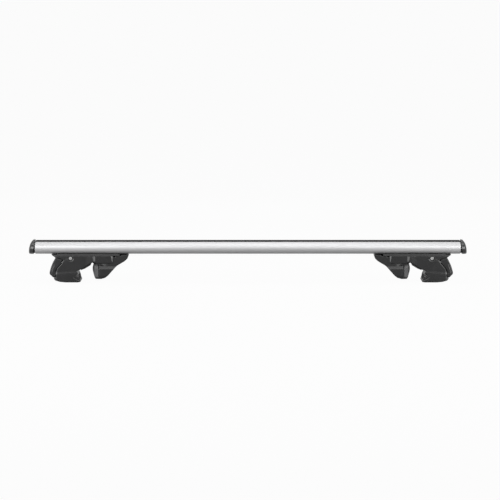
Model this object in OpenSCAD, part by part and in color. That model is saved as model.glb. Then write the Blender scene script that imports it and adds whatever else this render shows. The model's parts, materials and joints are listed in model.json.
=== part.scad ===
// Roof rack crossbar: an oval aluminium bar on two lockable clamp feet for raised roof rails.
// X runs along the bar, Y across it, Z is up. Z = 0 is the plane that the feet stand on.

/* [Bar] */
// Length of the whole crossbar over its end caps
overall_length = 1200; // [1000:5:1400]
// Width of the oval bar
bar_w = 64; // [60:1:74]
// Height of the oval bar
bar_h = 33; // [31:0.5:38]
// Radius of the bar's front and back nose
nose_r = 13; // [12:0.5:14.5]
// Wall of the bar
bar_wall = 2; // [1.6:0.1:2.6]
// Thickness of the two inner webs
web_t = 2; // [1.6:0.1:2.6]
// Width of the flats on the bar's top and underside
flat_w = 24; // [22:0.5:26]
// Opening of the slot along the top
top_slot_w = 12; // [11:0.5:13]
// Inner width of the slot along the top
top_slot_inner = 21; // [19:0.5:22]
// Opening of the channel along the underside
low_slot_w = 10.5; // [9.5:0.5:11.5]
// Inner width of the channel along the underside
low_slot_inner = 21; // [19:0.5:22]
// Inner depth of both slots, from the outer face
slot_depth = 9; // [8:0.5:10]
// Thickness of the lips beside both slots
lip_t = 2.4; // [2:0.1:2.8]

/* [Rubber strip] */
// Height of the strip above the bar
strip_rise = 2; // [1.4:0.1:2.6]
// Number of grooves along the strip
strip_grooves = 5; // [3:1:7]
// Depth of those grooves
groove_depth = 0.8; // [0.5:0.1:1]

/* [End caps] */
// How far a cap reaches past the bar at its lower edge
cap_reach = 16; // [12:0.5:20]
// How far the cap's face leans back at its crest
cap_lean = 12.5; // [9:0.5:13]
// Height of the cap's crest above the strip
crest_rise = 2.5; // [1.5:0.25:3.5]
// Length of the cap's plug inside the bar
plug_len = 22; // [16:1:30]

/* [Feet] */
// Distance from the left rail's centreline to the bar's left end, over its cap
left_overhang = 158.5; // [152.5:0.5:260]
// Distance from the right rail's centreline to the bar's right end, over its cap
right_overhang = 139.5; // [135:0.5:260]
// Height of the bar's underside above the feet's lowest face
foot_drop = 77; // [75:0.5:86]
// Gap between the outer claw and the jaw, where the rail sits
mouth_w = 33; // [31:0.5:38]
// Width of a foot's main body
foot_w = 58; // [56:1:62]
// Width of the arm that guides the jaw
arm_w = 53; // [51:0.5:54]
// Length of the arm past the mouth
arm_len = 57.5; // [52:0.5:60]
// How far the saddle reaches past the arm, over the jaw
saddle_reach = 16.5; // [12:0.5:20]
// Height from the bar's underside to the arm's lower edge
arm_drop = 24.8; // [24.4:0.2:27]
// Wall of the foot's mouldings
wall = 3.2; // [2.8:0.1:3.6]
// Radius of the mouldings' outer edges
edge_r = 2; // [1:0.25:2.2]
// Height between the bar's underside and the top of the moulding
saddle_gap = 4.2; // [4:0.1:4.6]
// Thickness of the pad between the saddle and the bar
pad_t = 0.9; // [0.7:0.1:1.2]

/* [Jaw] */
// Width of the jaw inside the arm
jaw_w = 46; // [42:1:46]
// Width of the jaw's claw
jaw_claw_w = 56; // [52:1:58]
// Height of the jaw's lowest face above the feet's lowest face
jaw_rise = 8.8; // [6:0.4:10]
// Thickness of the jaw's rubber nose
jaw_pad_t = 2.4; // [2:0.2:3]

/* [End cover] */
// Wall of the cover
cover_wall = 2.6; // [2.2:0.1:3]
// Radius of the cover's outer edges
cover_edge_r = 3.2; // [2:0.2:3.6]
// Radius of the cover's hinge knuckle
knuckle_r = 4.8; // [4.4:0.1:4.8]
// Radius of the hinge pin
pin_r = 2; // [1.6:0.1:2.2]

/* [Clamp screw] */
// Height of the screw's axis under the bar
screw_drop = 15; // [14.6:0.1:15.4]
// Radius of the screw
screw_r = 4; // [3.5:0.25:4]
// Radius of the screw's round head
head_r = 6.5; // [6:0.25:6.5]
// Height of the screw's head
head_h = 5.5; // [5:0.25:6]
// Width across the flats of the hexagon socket
socket_af = 6; // [5:0.5:6]
// Thickness of the washer under the head
washer_t = 1.6; // [1.2:0.2:2]
// Thickness of the wall that the screw pulls on
bearing_t = 5; // [4:0.5:5]

/* [Lock] */
// Radius of the lock's sleeve
sleeve_r = 6.3; // [5.8:0.1:6.5]
// Radius of the turning barrel
barrel_r = 4.3; // [4:0.1:4.6]
// Length of the lock
lock_len = 13; // [12:0.5:14]
// Length of the cam from the lock's axis
cam_len = 22.5; // [22:0.25:23]
// Width of the cam
cam_w = 4; // [3:0.5:4]
// Thickness of the cam
cam_t = 2.2; // [1.8:0.1:2.4]

/* [Saddle fasteners] */
// Radius of the screws that hold the bar
saddle_screw_r = 3; // [2.5:0.25:3]
// Length of the plate in the bar's channel
channel_plate_len = 96; // [88:1:110]
// Distance between the two saddle screws
saddle_screw_pitch = 54; // [50:1:55]

/* [Fits] */
// Gap between pieces that slide or swing past each other
slide_gap = 0.3; // [0.25:0.05:0.4]
// Gap round a pin or a thread that turns
running_gap = 0.05; // [0.03:0.01:0.08]
// Gap round a screw in its clearance hole
hole_gap = 0.5; // [0.4:0.1:0.7]

/* [Hidden] */
$fn = 96;
// Small overshoot of a cut past the face it opens
cut = 1;
// Distance between the centrelines of the two rails
left_rail_x = left_overhang - overall_length / 2;
right_rail_x = overall_length / 2 - right_overhang;

// Bar section: two shallow arcs joined by round noses, with flats above and below
nose_c = bar_w / 2 - nose_r;
function arc_radius(h) = (nose_c * nose_c + h * h - nose_r * nose_r) / (2 * (h - nose_r));
// First estimate of what the flats take off the oval, good enough to set the arcs
flat_guess = 1;
flat_rise = flat_w * flat_w / (8 * arc_radius(bar_h / 2 + flat_guess));
half_oval = bar_h / 2 + flat_rise;
arc_r = arc_radius(half_oval);
arc_end = nose_c * arc_r / (arc_r - nose_r);
bar_half = overall_length / 2 - cap_reach;
strip_top = bar_h + strip_rise;
crest_z = strip_top + crest_rise;
// Height of the bar's lower surface over its underside, at a distance y from its middle
function under(y) = max(0, bar_h / 2 + arc_r - half_oval - sqrt(arc_r * arc_r - y * y));

// Places in a foot's own frame: X = 0 is the rail's centreline, positive towards the middle of
// the bar, and Z = 0 is the bar's underside
ground = -foot_drop;
claw_x = -mouth_w / 2;
nose_x = mouth_w / 2;
body_half = foot_w / 2;
arm_half = arm_w / 2;
arm_end = nose_x + arm_len;
top_z = -saddle_gap;
jaw_half = jaw_w / 2;
hinge_x = claw_x - 72;
hinge_z = ground + 18;
// Radius of the cover's upper edge about its hinge, so that it swings clear under the housing
cover_r = foot_drop - 18 - saddle_gap - 4.9;
wall_x1 = claw_x - 37;
wall_x0 = wall_x1 - bearing_t;
head_x = wall_x0 - washer_t - slide_gap;
screw_end = nose_x + 51;
lock_x = claw_x - 26.2;
lock_z = -10.6;
face_y = -body_half;
cam_y0 = face_y + lock_len;
tongue_y0 = cam_y0 + cam_t + 0.5;
tongue_y1 = tongue_y0 + 2.6;

// Rounded outlines
function unit(v) = v / norm(v);
function turned(v) = [-v[1], v[0]];
function cross2(a, b) = a[0] * b[1] - a[1] * b[0];
// Points of one corner of an outline that runs anticlockwise. Each corner is [x, z, radius],
// and the whole outline is moved inwards by d
function corner_points(before, here, after, d) =
    let (
        u = unit([here[0] - before[0], here[1] - before[1]]),
        v = unit([after[0] - here[0], after[1] - here[1]]),
        n = turned(u),
        m = turned(v),
        share = 1 + n * m,
        tip = [here[0], here[1]] + d * (n + m) / share,
        side = cross2(u, v) >= 0 ? 1 : -1,
        bend = acos(max(-1, min(1, u * v))),
        r = side > 0 ? max(here[2] - d, here[2] * 0.3) : here[2] + d,
        steps = here[2] == 0 ? 0 : max(1, ceil(bend / 20)),
        middle = tip + side * r * (n + m) / share,
        start = atan2(-side * n[1], -side * n[0])
    )
    steps == 0 ? [tip] : [
        for (k = [0 : steps])
            middle + r * [cos(start + side * bend * k / steps), sin(start + side * bend * k / steps)]
    ];
function rounded(corners, d = 0) =
    let (n = len(corners))
    [for (i = [0 : n - 1]) each corner_points(corners[(i + n - 1) % n], corners[i], corners[(i + 1) % n], d)];
// Points along an arc about c from angle a to angle b
function arc_points(c, r, a, b, steps) =
    [for (k = [0 : steps]) [c[0] + r * cos(a + (b - a) * k / steps), c[1] + r * sin(a + (b - a) * k / steps)]];
function sharp(points) = [for (p = points) [p[0], p[1], 0]];

// Flat caps of a loft: ears are cut off the outline one by one
function inside(p, a, b, c) =
    cross2(b - a, p - a) >= 0 && cross2(c - b, p - b) >= 0 && cross2(a - c, p - c) >= 0;
function is_ear(pts, ring, i) =
    let (
        n = len(ring),
        a = pts[ring[(i + n - 1) % n]],
        b = pts[ring[i]],
        c = pts[ring[(i + 1) % n]]
    )
    cross2(b - a, c - b) > 1e-9
    && len([for (j = ring) if (pts[j] != a && pts[j] != b && pts[j] != c && inside(pts[j], a, b, c)) 1]) == 0;
function first_ear(pts, ring, i = 0) = i >= len(ring) - 1 || is_ear(pts, ring, i) ? i : first_ear(pts, ring, i + 1);
function ears(pts, ring) =
    len(ring) == 3 ? [ring] :
    let (
        n = len(ring),
        i = first_ear(pts, ring),
        rest = [for (k = [0 : n - 1]) if (k != i) ring[k]]
    )
    concat([[ring[(i + n - 1) % n], ring[i], ring[(i + 1) % n]]], ears(pts, rest));

// Skin with rounded edges: the outline is set in by a quarter circle of radius r at both sides
module skin(corners, half, r, steps = 2) {
    profile = [for (k = [0 : steps]) [half - r + r * sin(90 - 90 * k / steps), r - r * cos(90 - 90 * k / steps)]];
    levels = concat([for (p = profile) [-p[0], p[1]]], [for (k = [steps : -1 : 0]) [profile[k][0], profile[k][1]]]);
    rings = [for (level = levels) [for (p = rounded(corners, level[1])) [p[0], level[0], p[1]]]];
    n = len(rings[0]);
    m = len(rings);
    flat_a = [for (p = rings[0]) [p[0], p[2]]];
    cap = ears(flat_a, [for (k = [0 : n - 1]) k]);
    polyhedron(
        points = [for (ring = rings) each ring],
        faces = concat(
            [for (t = cap) [t[2], t[1], t[0]]],
            [for (j = [0 : m - 2], k = [0 : n - 1]) each [
                [j * n + k, j * n + (k + 1) % n, (j + 1) * n + (k + 1) % n],
                [j * n + k, (j + 1) * n + (k + 1) % n, (j + 1) * n + k]
            ]],
            [for (t = cap) [(m - 1) * n + t[0], (m - 1) * n + t[1], (m - 1) * n + t[2]]]
        )
    );
}

// Profiles carried straight along X or along Y
module along_x(x0, x1) {
    translate([x0, 0, 0]) rotate([90, 0, 90]) linear_extrude(x1 - x0) children();
}
module along_y(y0, y1) {
    translate([0, y1, 0]) rotate([90, 0, 0]) linear_extrude(y1 - y0) children();
}
// A block between two corners
module block(low, high) {
    translate(low) cube(high - low);
}
// A round rod along X or along Y
module rod_x(x0, x1, z, r) {
    translate([x0, 0, z]) rotate([0, 90, 0]) cylinder(h = x1 - x0, r = r);
}
module rod_y(x, z, y0, y1, r) {
    translate([x, y1, z]) rotate([90, 0, 0]) cylinder(h = y1 - y0, r = r);
}

// Bar
module oval(inset = 0) {
    translate([0, bar_h / 2]) intersection() {
        union() {
            intersection() {
                translate([0, half_oval - arc_r]) circle(arc_r - inset);
                translate([0, arc_r - half_oval]) circle(arc_r - inset);
                square([2 * arc_end, 2 * bar_h], center = true);
            }
            for (side = [-1, 1]) translate([side * nose_c, 0]) circle(nose_r - inset);
        }
        square([2 * bar_w, bar_h - 2 * inset], center = true);
    }
}
module slot_shape(inner, opening) {
    translate([-inner / 2, -slot_depth]) square([inner, slot_depth - lip_t]);
    translate([-opening / 2, -slot_depth]) square([opening, slot_depth + cut]);
}
module bar_section() {
    difference() {
        oval();
        difference() {
            oval(bar_wall);
            translate([-top_slot_inner / 2 - web_t, bar_h - slot_depth - web_t])
                square([top_slot_inner + 2 * web_t, slot_depth + web_t]);
            translate([-low_slot_inner / 2 - web_t, 0])
                square([low_slot_inner + 2 * web_t, slot_depth + web_t]);
            for (side = [-1, 1])
                translate([side * low_slot_inner / 2 - (side > 0 ? 0 : web_t), 0]) square([web_t, bar_h]);
        }
        translate([0, bar_h]) slot_shape(top_slot_inner, top_slot_w);
        mirror([0, 1]) slot_shape(low_slot_inner, low_slot_w);
    }
}
module bar_extrusion() {
    color("silver") translate([0, 0, foot_drop]) along_x(-bar_half, bar_half) bar_section();
}

// Strip
strip_foot = (top_slot_w + top_slot_inner) / 2;
strip_foot_t = 2;
module strip_section() {
    pitch = flat_w / (strip_grooves + 1);
    difference() {
        union() {
            translate([-flat_w / 2, 0]) square([flat_w, strip_rise]);
            translate([-top_slot_w / 2 + slide_gap, -lip_t - slide_gap - strip_foot_t])
                square([top_slot_w - 2 * slide_gap, lip_t + slide_gap + strip_foot_t + strip_rise / 2]);
            translate([-strip_foot / 2, -lip_t - slide_gap - strip_foot_t]) square([strip_foot, strip_foot_t]);
        }
        for (k = [1 : strip_grooves])
            translate([-flat_w / 2 + k * pitch, strip_rise])
                polygon([[-groove_depth, cut / 4], [0, -groove_depth], [groove_depth, cut / 4]]);
    }
}
module rubber_strip() {
    color("dimgray") translate([0, 0, foot_drop + bar_h]) along_x(-bar_half, bar_half) strip_section();
}

// End caps, drawn for the end at positive X
cap_lip = 0.6;
crest_half = flat_w / 2;
// Section of the cap: the bar's oval, a lip larger, with the crest that covers the strip's end
module cap_section() {
    oval(-cap_lip);
    translate([0, bar_h / 2]) polygon([
        [-nose_c, 0], [nose_c, 0], [nose_c + 2, nose_r * 0.9], [crest_half, crest_z - bar_h / 2 - 1.6],
        [crest_half - 4, crest_z - bar_h / 2], [4 - crest_half, crest_z - bar_h / 2],
        [-crest_half, crest_z - bar_h / 2 - 1.6], [-nose_c - 2, nose_r * 0.9]
    ]);
}
// Side view of the cap: leans back and curves over to the crest
function cap_side() = rounded([
    [0, -cap_lip, 0], [cap_reach, -cap_lip, 1.6], [cap_reach - 0.6, 5, 8],
    [cap_reach - 3.2, 0.7 * bar_h, 12], [cap_reach * 0.5, bar_h, 8],
    [cap_reach - cap_lean, crest_z - 0.6, 3], [0, crest_z, 0]
]);
// Plan of the cap: two facets turn round from the bar's nose to its face
module cap_plan() {
    w = bar_w / 2 + cap_lip;
    polygon([
        [0, -w], [0.24 * cap_reach, -w], [0.62 * cap_reach, -w * 0.93], [0.9 * cap_reach, -w * 0.72],
        [cap_reach, -w * 0.3], [cap_reach, w * 0.3], [0.9 * cap_reach, w * 0.72],
        [0.62 * cap_reach, w * 0.93], [0.24 * cap_reach, w], [0, w]
    ]);
}
module cap_plug() {
    lobe_y = max(top_slot_inner, low_slot_inner) / 2 + web_t + slide_gap;
    difference() {
        along_x(-plug_len, cut) intersection() {
            oval(bar_wall + slide_gap);
            for (side = [-1, 1])
                translate([side > 0 ? lobe_y : -bar_w / 2, 0]) square([bar_w / 2 - lobe_y, bar_h]);
        }
        along_x(-plug_len - cut, -cut) intersection() {
            oval(2 * bar_wall + slide_gap);
            for (side = [-1, 1])
                translate([side > 0 ? lobe_y + bar_wall : -bar_w / 2, 0])
                    square([bar_w / 2 - lobe_y - bar_wall, bar_h]);
        }
    }
}
module end_cap() {
    union() {
        intersection() {
            along_x(0, cap_reach + cut) cap_section();
            along_y(-bar_w, bar_w) polygon(cap_side());
            translate([0, 0, -cut]) linear_extrude(2 * bar_h) cap_plan();
        }
        cap_plug();
    }
}
module right_end_cap() {
    color("#2b2b2c") translate([bar_half, 0, foot_drop]) end_cap();
}
module left_end_cap() {
    color("#2b2b2c") mirror([1, 0, 0]) translate([bar_half, 0, foot_drop]) end_cap();
}

// Feet. Every module below draws a piece of the left foot in the foot's own frame
module on_left() {
    translate([left_rail_x, 0, foot_drop]) children();
}
module on_right() {
    translate([right_rail_x, 0, foot_drop]) mirror([1, 0, 0]) children();
}

// Parting line between the cover and the housing, as [x from the hinge, share of the cover's height]
parting = [[21, 0.675], [8.3, 0.403], [3.6, 0.193]];
part_angle = 59;
notch_angle = 85.5;
function cover_z(share) = hinge_z + share * cover_r;
function parting_points(shift) = [for (p = parting) [hinge_x + p[0] + shift, cover_z(p[1]), 6]];

// Side view of the housing's main body
function housing_outline() = concat(
    [
        [hinge_x - 0.8, ground + 11.1, 1.2], [hinge_x + 3.7, ground + 5.4, 6],
        [hinge_x + 16, ground + 1.6, 14], [claw_x - 40.5, ground, 20], [claw_x - 7.5, ground, 10],
        [claw_x + 1.9, ground + 1.4, 2], [claw_x - 1.5, ground + 8, 8], [claw_x - 4.1, ground + 20, 30],
        [claw_x - 9.4, ground + 31.6, 2], [claw_x + 2, ground + 35.4, 8],
        [nose_x - 5.3, -arm_drop - 0.2, 8], [nose_x + 3, 3.2 - arm_drop, 3],
        [nose_x + 9.7, 3.2 - arm_drop, 3], [nose_x + 9.7, top_z, 3], [hinge_x + 8, top_z, 1]
    ],
    sharp(arc_points([hinge_x, hinge_z], cover_r + slide_gap, notch_angle, part_angle, 5)),
    parting_points(slide_gap),
    sharp(arc_points([hinge_x, hinge_z], knuckle_r + slide_gap, 8, -72, 3))
);
// The space inside the body, a wall's thickness from its outline
function pocket_outline() = [
    [hinge_x + 9.5, ground + 11.5, 2], [hinge_x + 18, ground + 2.3 + wall, 5],
    [claw_x - 40.5, ground + wall + 0.3, 12], [claw_x - 9, ground + wall + 0.3, 5],
    [claw_x - 2.3 - wall, ground + 3.2 + wall, 2], [claw_x - 5.3 - wall, ground + 20, 20],
    [claw_x - 10 - wall, ground + 31, 2], [claw_x - 7 - wall, ground + 36.6, 2],
    [claw_x + 1, ground + 36.4 + wall, 3], [nose_x - 6.2, wall - arm_drop + 0.4, 6],
    [nose_x + 2.5, wall - arm_drop + 4, 2], [nose_x + 2.5, top_z - wall, 1],
    [wall_x0 + 1, top_z - wall, 1], [wall_x0 + 1, wall_bottom + 20, 2],
    [hinge_x + 22 + wall, cover_z(0.64), 6], [hinge_x + 8.9 + wall, cover_z(0.36), 6],
    [hinge_x + 4.6 + wall, cover_z(0.17), 4]
];
wall_bottom = ground + 38;
rib_x = claw_x + 8;
rib_t = 4;
end_wall_x = nose_x + 6;
lug_y0 = body_half - 10;
lug_y1 = body_half - cover_wall - slide_gap;

module arm() {
    difference() {
        skin([
            [nose_x + 1, -arm_drop, 3], [arm_end, -arm_drop, 5], [arm_end, top_z, 3], [nose_x + 1, top_z, 3]
        ], arm_half, edge_r);
        block([end_wall_x, -jaw_half - slide_gap, -arm_drop - cut], [arm_end + cut, jaw_half + slide_gap, top_z - wall]);
    }
}
// The space that the cover's tongue and the lock's cam swing through
module latch_space() {
    y0 = cam_y0 - 1.2;
    y1 = tongue_y1 + 0.8;
    intersection() {
        difference() {
            rod_y(hinge_x, hinge_z, y0, y1, cover_r + 0.5);
            rod_y(hinge_x, hinge_z, y0 - cut, y1 + cut, cover_r - 9);
        }
        block([hinge_x + 14, y0 - cut, wall_bottom - 2], [wall_x1 + cut, y1 + cut, 0]);
    }
    block([lock_x - cam_len - 2, y0, lock_z - 13.5], [wall_x1 + 3.5, y1, lock_z + 5.3]);
    rod_y(lock_x, lock_z, y0, y1, barrel_r + 0.7);
}
module lugs() {
    for (side = [-1, 1]) {
        y0 = side > 0 ? lug_y0 : -lug_y1;
        y1 = side > 0 ? lug_y1 : -lug_y0;
        rod_y(hinge_x, hinge_z, y0, y1, knuckle_r - 0.2);
        along_y(y0, y1) polygon([
            [hinge_x, hinge_z - knuckle_r + 0.4], [hinge_x + 11, ground + 12], [hinge_x + 10, hinge_z + 3.8],
            [hinge_x, hinge_z + knuckle_r - 0.4]
        ]);
    }
}
module housing() {
    inner_half = body_half - wall;
    difference() {
        union() {
            difference() {
                skin(housing_outline(), body_half, edge_r);
                difference() {
                    along_y(-inner_half, inner_half) polygon(rounded(pocket_outline()));
                    block([wall_x0, -body_half, wall_bottom], [wall_x1, body_half, 0]);
                    block([rib_x, -body_half, ground], [rib_x + rib_t, body_half, 0]);
                    rod_y(lock_x, lock_z, -body_half, face_y + lock_len - 2.5, sleeve_r + wall);
                }
                block([end_wall_x, -jaw_half - slide_gap, -arm_drop - 9], [nose_x + 12, jaw_half + slide_gap, top_z - wall]);
            }
            arm();
            lugs();
        }
        latch_space();
        block([wall_x0 - 22, -head_r - 0.8, -screw_drop - head_r - 0.8], [wall_x0, head_r + 0.8, -screw_drop + head_r + 0.6]);
        rod_x(wall_x0 - cut, nose_x + 12, -screw_drop, screw_r + hole_gap);
        rod_y(hinge_x, hinge_z, -body_half, body_half, pin_r);
        rod_y(lock_x, lock_z, -body_half - cut, face_y + lock_len, sleeve_r + running_gap);
        for (x = saddle_screw_x) translate([x, 0, top_z - wall - cut]) cylinder(h = wall + 2 * cut, r = saddle_screw_r + hole_gap);
        block([wall_x1 + 17, -inner_half + 5, top_z - wall - cut], [rib_x - 3, inner_half - 5, 0]);
        along_y(-claw_pad_half, claw_pad_half) polygon(claw_recess);
    }
}
saddle_mid = claw_x + 0.5;
saddle_screw_x = [saddle_mid - saddle_screw_pitch / 2, saddle_mid + saddle_screw_pitch / 2];

// Pads on the housing
claw_pad_half = body_half - 6;
claw_recess = [
    [claw_x - 3.2, ground + 8], [claw_x + 4, ground + 8], [claw_x + 4, ground + 21], [claw_x - 6.2, ground + 21]
];
module claw_pad() {
    along_y(0.3 - claw_pad_half, claw_pad_half - 0.3) polygon([
        [claw_x - 3.1, ground + 8.2], [claw_x - 0.6, ground + 8.2], [claw_x - 0.8, ground + 9.8],
        [claw_x - 1.8, ground + 10.7], [claw_x - 1.4, ground + 12.5], [claw_x - 2.4, ground + 13.4],
        [claw_x - 2, ground + 15.2], [claw_x - 3, ground + 16.1], [claw_x - 2.6, ground + 17.9],
        [claw_x - 3.6, ground + 18.8], [claw_x - 3.3, ground + 20.8], [claw_x - 6, ground + 20.8]
    ]);
}
module rail_pad() {
    along_y(edge_r / 2 - body_half, body_half - edge_r / 2) polygon([
        [claw_x + 2.6, ground + 34], [claw_x + 12.5, ground + 37.8], [nose_x - 4.3, -arm_drop - 4.7],
        [nose_x - 5.1, -arm_drop - 0.7], [claw_x + 2.2, ground + 35]
    ]);
}

// Saddle: the cradle between the housing and the bar
saddle_half = body_half - 4;
saddle_x0 = hinge_x + 9;
saddle_x1 = arm_end + saddle_reach;
tip_x = hinge_x - 6.7;
notch_x = hinge_x + (cover_r + slide_gap) * cos(notch_angle) - 0.1;
// Height of the saddle's top face at a distance y from the middle: it follows the bar, then ends level
saddle_lip = 0.9;
function saddle_top(y) = min(saddle_lip, under(y) - pad_t - slide_gap);
cradle_steps = 12;
function cradle(rise, first, last) =
    [for (k = [first : last]) let (y = saddle_half - 2 * saddle_half * k / cradle_steps) [y, saddle_top(y) + rise]];
function reversed(list) = [for (k = [len(list) - 1 : -1 : 0]) list[k]];
module saddle() {
    difference() {
        union() {
            along_x(saddle_x0, saddle_x1) polygon(concat(
                [[-saddle_half, top_z], [saddle_half, top_z]], cradle(0, 0, cradle_steps)
            ));
            along_y(-saddle_half, saddle_half) polygon(rounded([
                [notch_x, top_z - 4.6, 0.8], [hinge_x + 7.8, top_z, 0], [saddle_x0 + cut, top_z, 0],
                [saddle_x0 + cut, -pad_t - slide_gap, 0], [tip_x + 2, -slide_gap - 0.2, 1], [tip_x, -slide_gap - 0.6, 0.4]
            ]));
        }
        for (x = saddle_screw_x) translate([x, 0, top_z - cut]) cylinder(h = saddle_gap + 2 * cut, r = saddle_screw_r + hole_gap);
    }
}
module saddle_pad() {
    difference() {
        along_x(saddle_x0 + 2, saddle_x1 - 2) polygon(concat(
            cradle(pad_t, 1, cradle_steps - 1), reversed(cradle(0, 1, cradle_steps - 1))
        ));
        for (x = saddle_screw_x) translate([x, 0, -saddle_gap]) cylinder(h = 2 * saddle_gap, r = saddle_screw_r + hole_gap);
    }
}
plate_z = lip_t + slide_gap;
plate_t = 4;
module channel_plate() {
    half = low_slot_inner / 2 - slide_gap - 0.2;
    difference() {
        block([saddle_mid - channel_plate_len / 2, -half, plate_z], [saddle_mid + channel_plate_len / 2, half, plate_z + plate_t]);
        for (x = saddle_screw_x) translate([x, 0, plate_z - cut]) cylinder(h = plate_t + 2 * cut, r = saddle_screw_r);
    }
}
module saddle_screws() {
    low = top_z - wall;
    for (x = saddle_screw_x) translate([x, 0, 0]) difference() {
        union() {
            translate([0, 0, low - 2.6]) cylinder(h = 2.6, r1 = saddle_screw_r + 1.6, r2 = saddle_screw_r + 2.4);
            translate([0, 0, low - 0.1]) cylinder(h = plate_z + plate_t + 1 - low, r = saddle_screw_r);
        }
        translate([0, 0, low - 2.6 - cut]) cylinder(h = 1.6 + cut, r = 2, $fn = 6);
    }
}

// Cover
function cover_curve() = [
    [hinge_x - 1.3, cover_z(0.79), 24], [hinge_x - 7.6, cover_z(0.507), 30], [hinge_x - 12.1, cover_z(0.2), 14],
    [hinge_x - 11.5, cover_z(0.089), 4]
];
function cover_outline() = concat(
    cover_curve(),
    sharp(arc_points([hinge_x, hinge_z], knuckle_r, 225, 360, 6)),
    [for (i = [len(parting) - 1 : -1 : 0]) parting_points(-slide_gap)[i]],
    sharp(arc_points([hinge_x, hinge_z], cover_r, part_angle + 1, notch_angle - 0.5, 5))
);
// The same outer curve carried on past the cover's open edges
function cover_space() = concat(
    cover_curve(),
    [
        [hinge_x + 8, hinge_z - 14.8, 0], [hinge_x + 70, hinge_z - 14.8, 0], [hinge_x + 70, 0, 0], [hinge_x + 7.8, 0, 0],
        [hinge_x + 3.6, cover_z(0.99), 2]
    ]
);
lip_angle = 32.2;
tongue_low = cover_r - 6.9;
tongue_high = cover_r - 0.5;
module sector_band(y0, y1, a, b) {
    along_y(y0, y1) polygon(concat(
        arc_points([hinge_x, hinge_z], tongue_high, a, b, 12), arc_points([hinge_x, hinge_z], tongue_low, b, a, 12)
    ));
}
module end_cover() {
    inner_half = body_half - cover_wall;
    difference() {
        skin(cover_outline(), body_half, cover_edge_r, 3);
        along_y(-inner_half, inner_half) polygon(rounded(cover_space(), cover_wall));
        rod_y(hinge_x, hinge_z, -inner_half, inner_half, knuckle_r + 2 * slide_gap);
        rod_y(hinge_x, hinge_z, 0.5 - body_half, body_half - 0.5, pin_r + running_gap);
    }
    intersection() {
        sector_band(tongue_y0, tongue_y1, lip_angle, 89);
        union() {
            along_y(tongue_y0 - cut, tongue_y1 + cut) polygon(rounded(cover_outline(), 0.5));
            block([hinge_x + 12, tongue_y0 - cut, ground], [wall_x1 + 20, tongue_y1 + cut, 0]);
        }
    }
    sector_band(cam_y0 - 0.3, tongue_y0 + 0.5, lip_angle, lip_angle + 2.8);
}
module hinge_pin() {
    rod_y(hinge_x, hinge_z, 0.9 - body_half, body_half - 0.9, pin_r);
}

// Clamp screw, its washer and its clip
module clamp_screw() {
    difference() {
        union() {
            rod_x(head_x - head_h, head_x, -screw_drop, head_r);
            rod_x(head_x - 0.1, screw_end, -screw_drop, screw_r);
        }
        translate([head_x - head_h - cut, 0, -screw_drop]) rotate([0, 90, 0])
            cylinder(h = cut + 0.6 * head_h, r = socket_af / sqrt(3), $fn = 6);
        clip_groove();
    }
}
clip_x = wall_x1 + slide_gap + 0.2;
clip_t = 1.2;
module clip_groove() {
    difference() {
        rod_x(clip_x - 0.2, clip_x + clip_t + 0.2, -screw_drop, screw_r + 1);
        rod_x(clip_x - 1, clip_x + clip_t + 1, -screw_drop, screw_r - 1);
    }
}
module clamp_washer() {
    difference() {
        rod_x(wall_x0 - washer_t, wall_x0, -screw_drop, head_r + 0.5);
        rod_x(wall_x0 - washer_t - cut, wall_x0 + cut, -screw_drop, screw_r + running_gap);
    }
}
module retaining_clip() {
    difference() {
        rod_x(clip_x, clip_x + clip_t, -screw_drop, screw_r + 2.4);
        rod_x(clip_x - cut, clip_x + clip_t + cut, -screw_drop, screw_r - 1 + running_gap);
        block([clip_x - cut, 0.8 - screw_r, -screw_drop - 2 * screw_r], [clip_x + clip_t + cut, screw_r - 0.8, -screw_drop]);
    }
}

// Lock
module lock_sleeve() {
    difference() {
        rod_y(lock_x, lock_z, face_y + 1, face_y + lock_len - 1.5, sleeve_r);
        rod_y(lock_x, lock_z, face_y, face_y + lock_len, barrel_r + running_gap);
        rod_y(lock_x, lock_z, face_y, face_y + 1.6, sleeve_r - 0.8);
    }
}
module lock_barrel() {
    difference() {
        rod_y(lock_x, lock_z, face_y + 0.8, cam_y0, barrel_r);
        block([lock_x - 0.6, face_y, lock_z - 2.6], [lock_x + 0.6, face_y + 8, lock_z + 2.6]);
        rod_y(lock_x, lock_z, cam_y0 - 3.5, cam_y0 + cut, 1.5);
    }
}
cam_angle = 172;
module lock_cam() {
    difference() {
        translate([lock_x, 0, lock_z]) rotate([0, -cam_angle, 0]) translate([-lock_x, 0, -lock_z]) union() {
            rod_y(lock_x, lock_z, cam_y0, cam_y0 + cam_t, barrel_r);
            block([lock_x, cam_y0, lock_z - cam_w / 2], [lock_x + cam_len - 1, cam_y0 + cam_t, lock_z + cam_w / 2]);
        }
        rod_y(lock_x, lock_z, cam_y0 - cut, cam_y0 + cam_t + cut, 1.5);
    }
}
module cam_screw() {
    rod_y(lock_x, lock_z, cam_y0 - 3, cam_y0 + cam_t, 1.5);
    rod_y(lock_x, lock_z, cam_y0 + cam_t, cam_y0 + cam_t + 1.6, 2.8);
}

// Jaw
jaw_top = top_z - wall - slide_gap;
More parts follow.
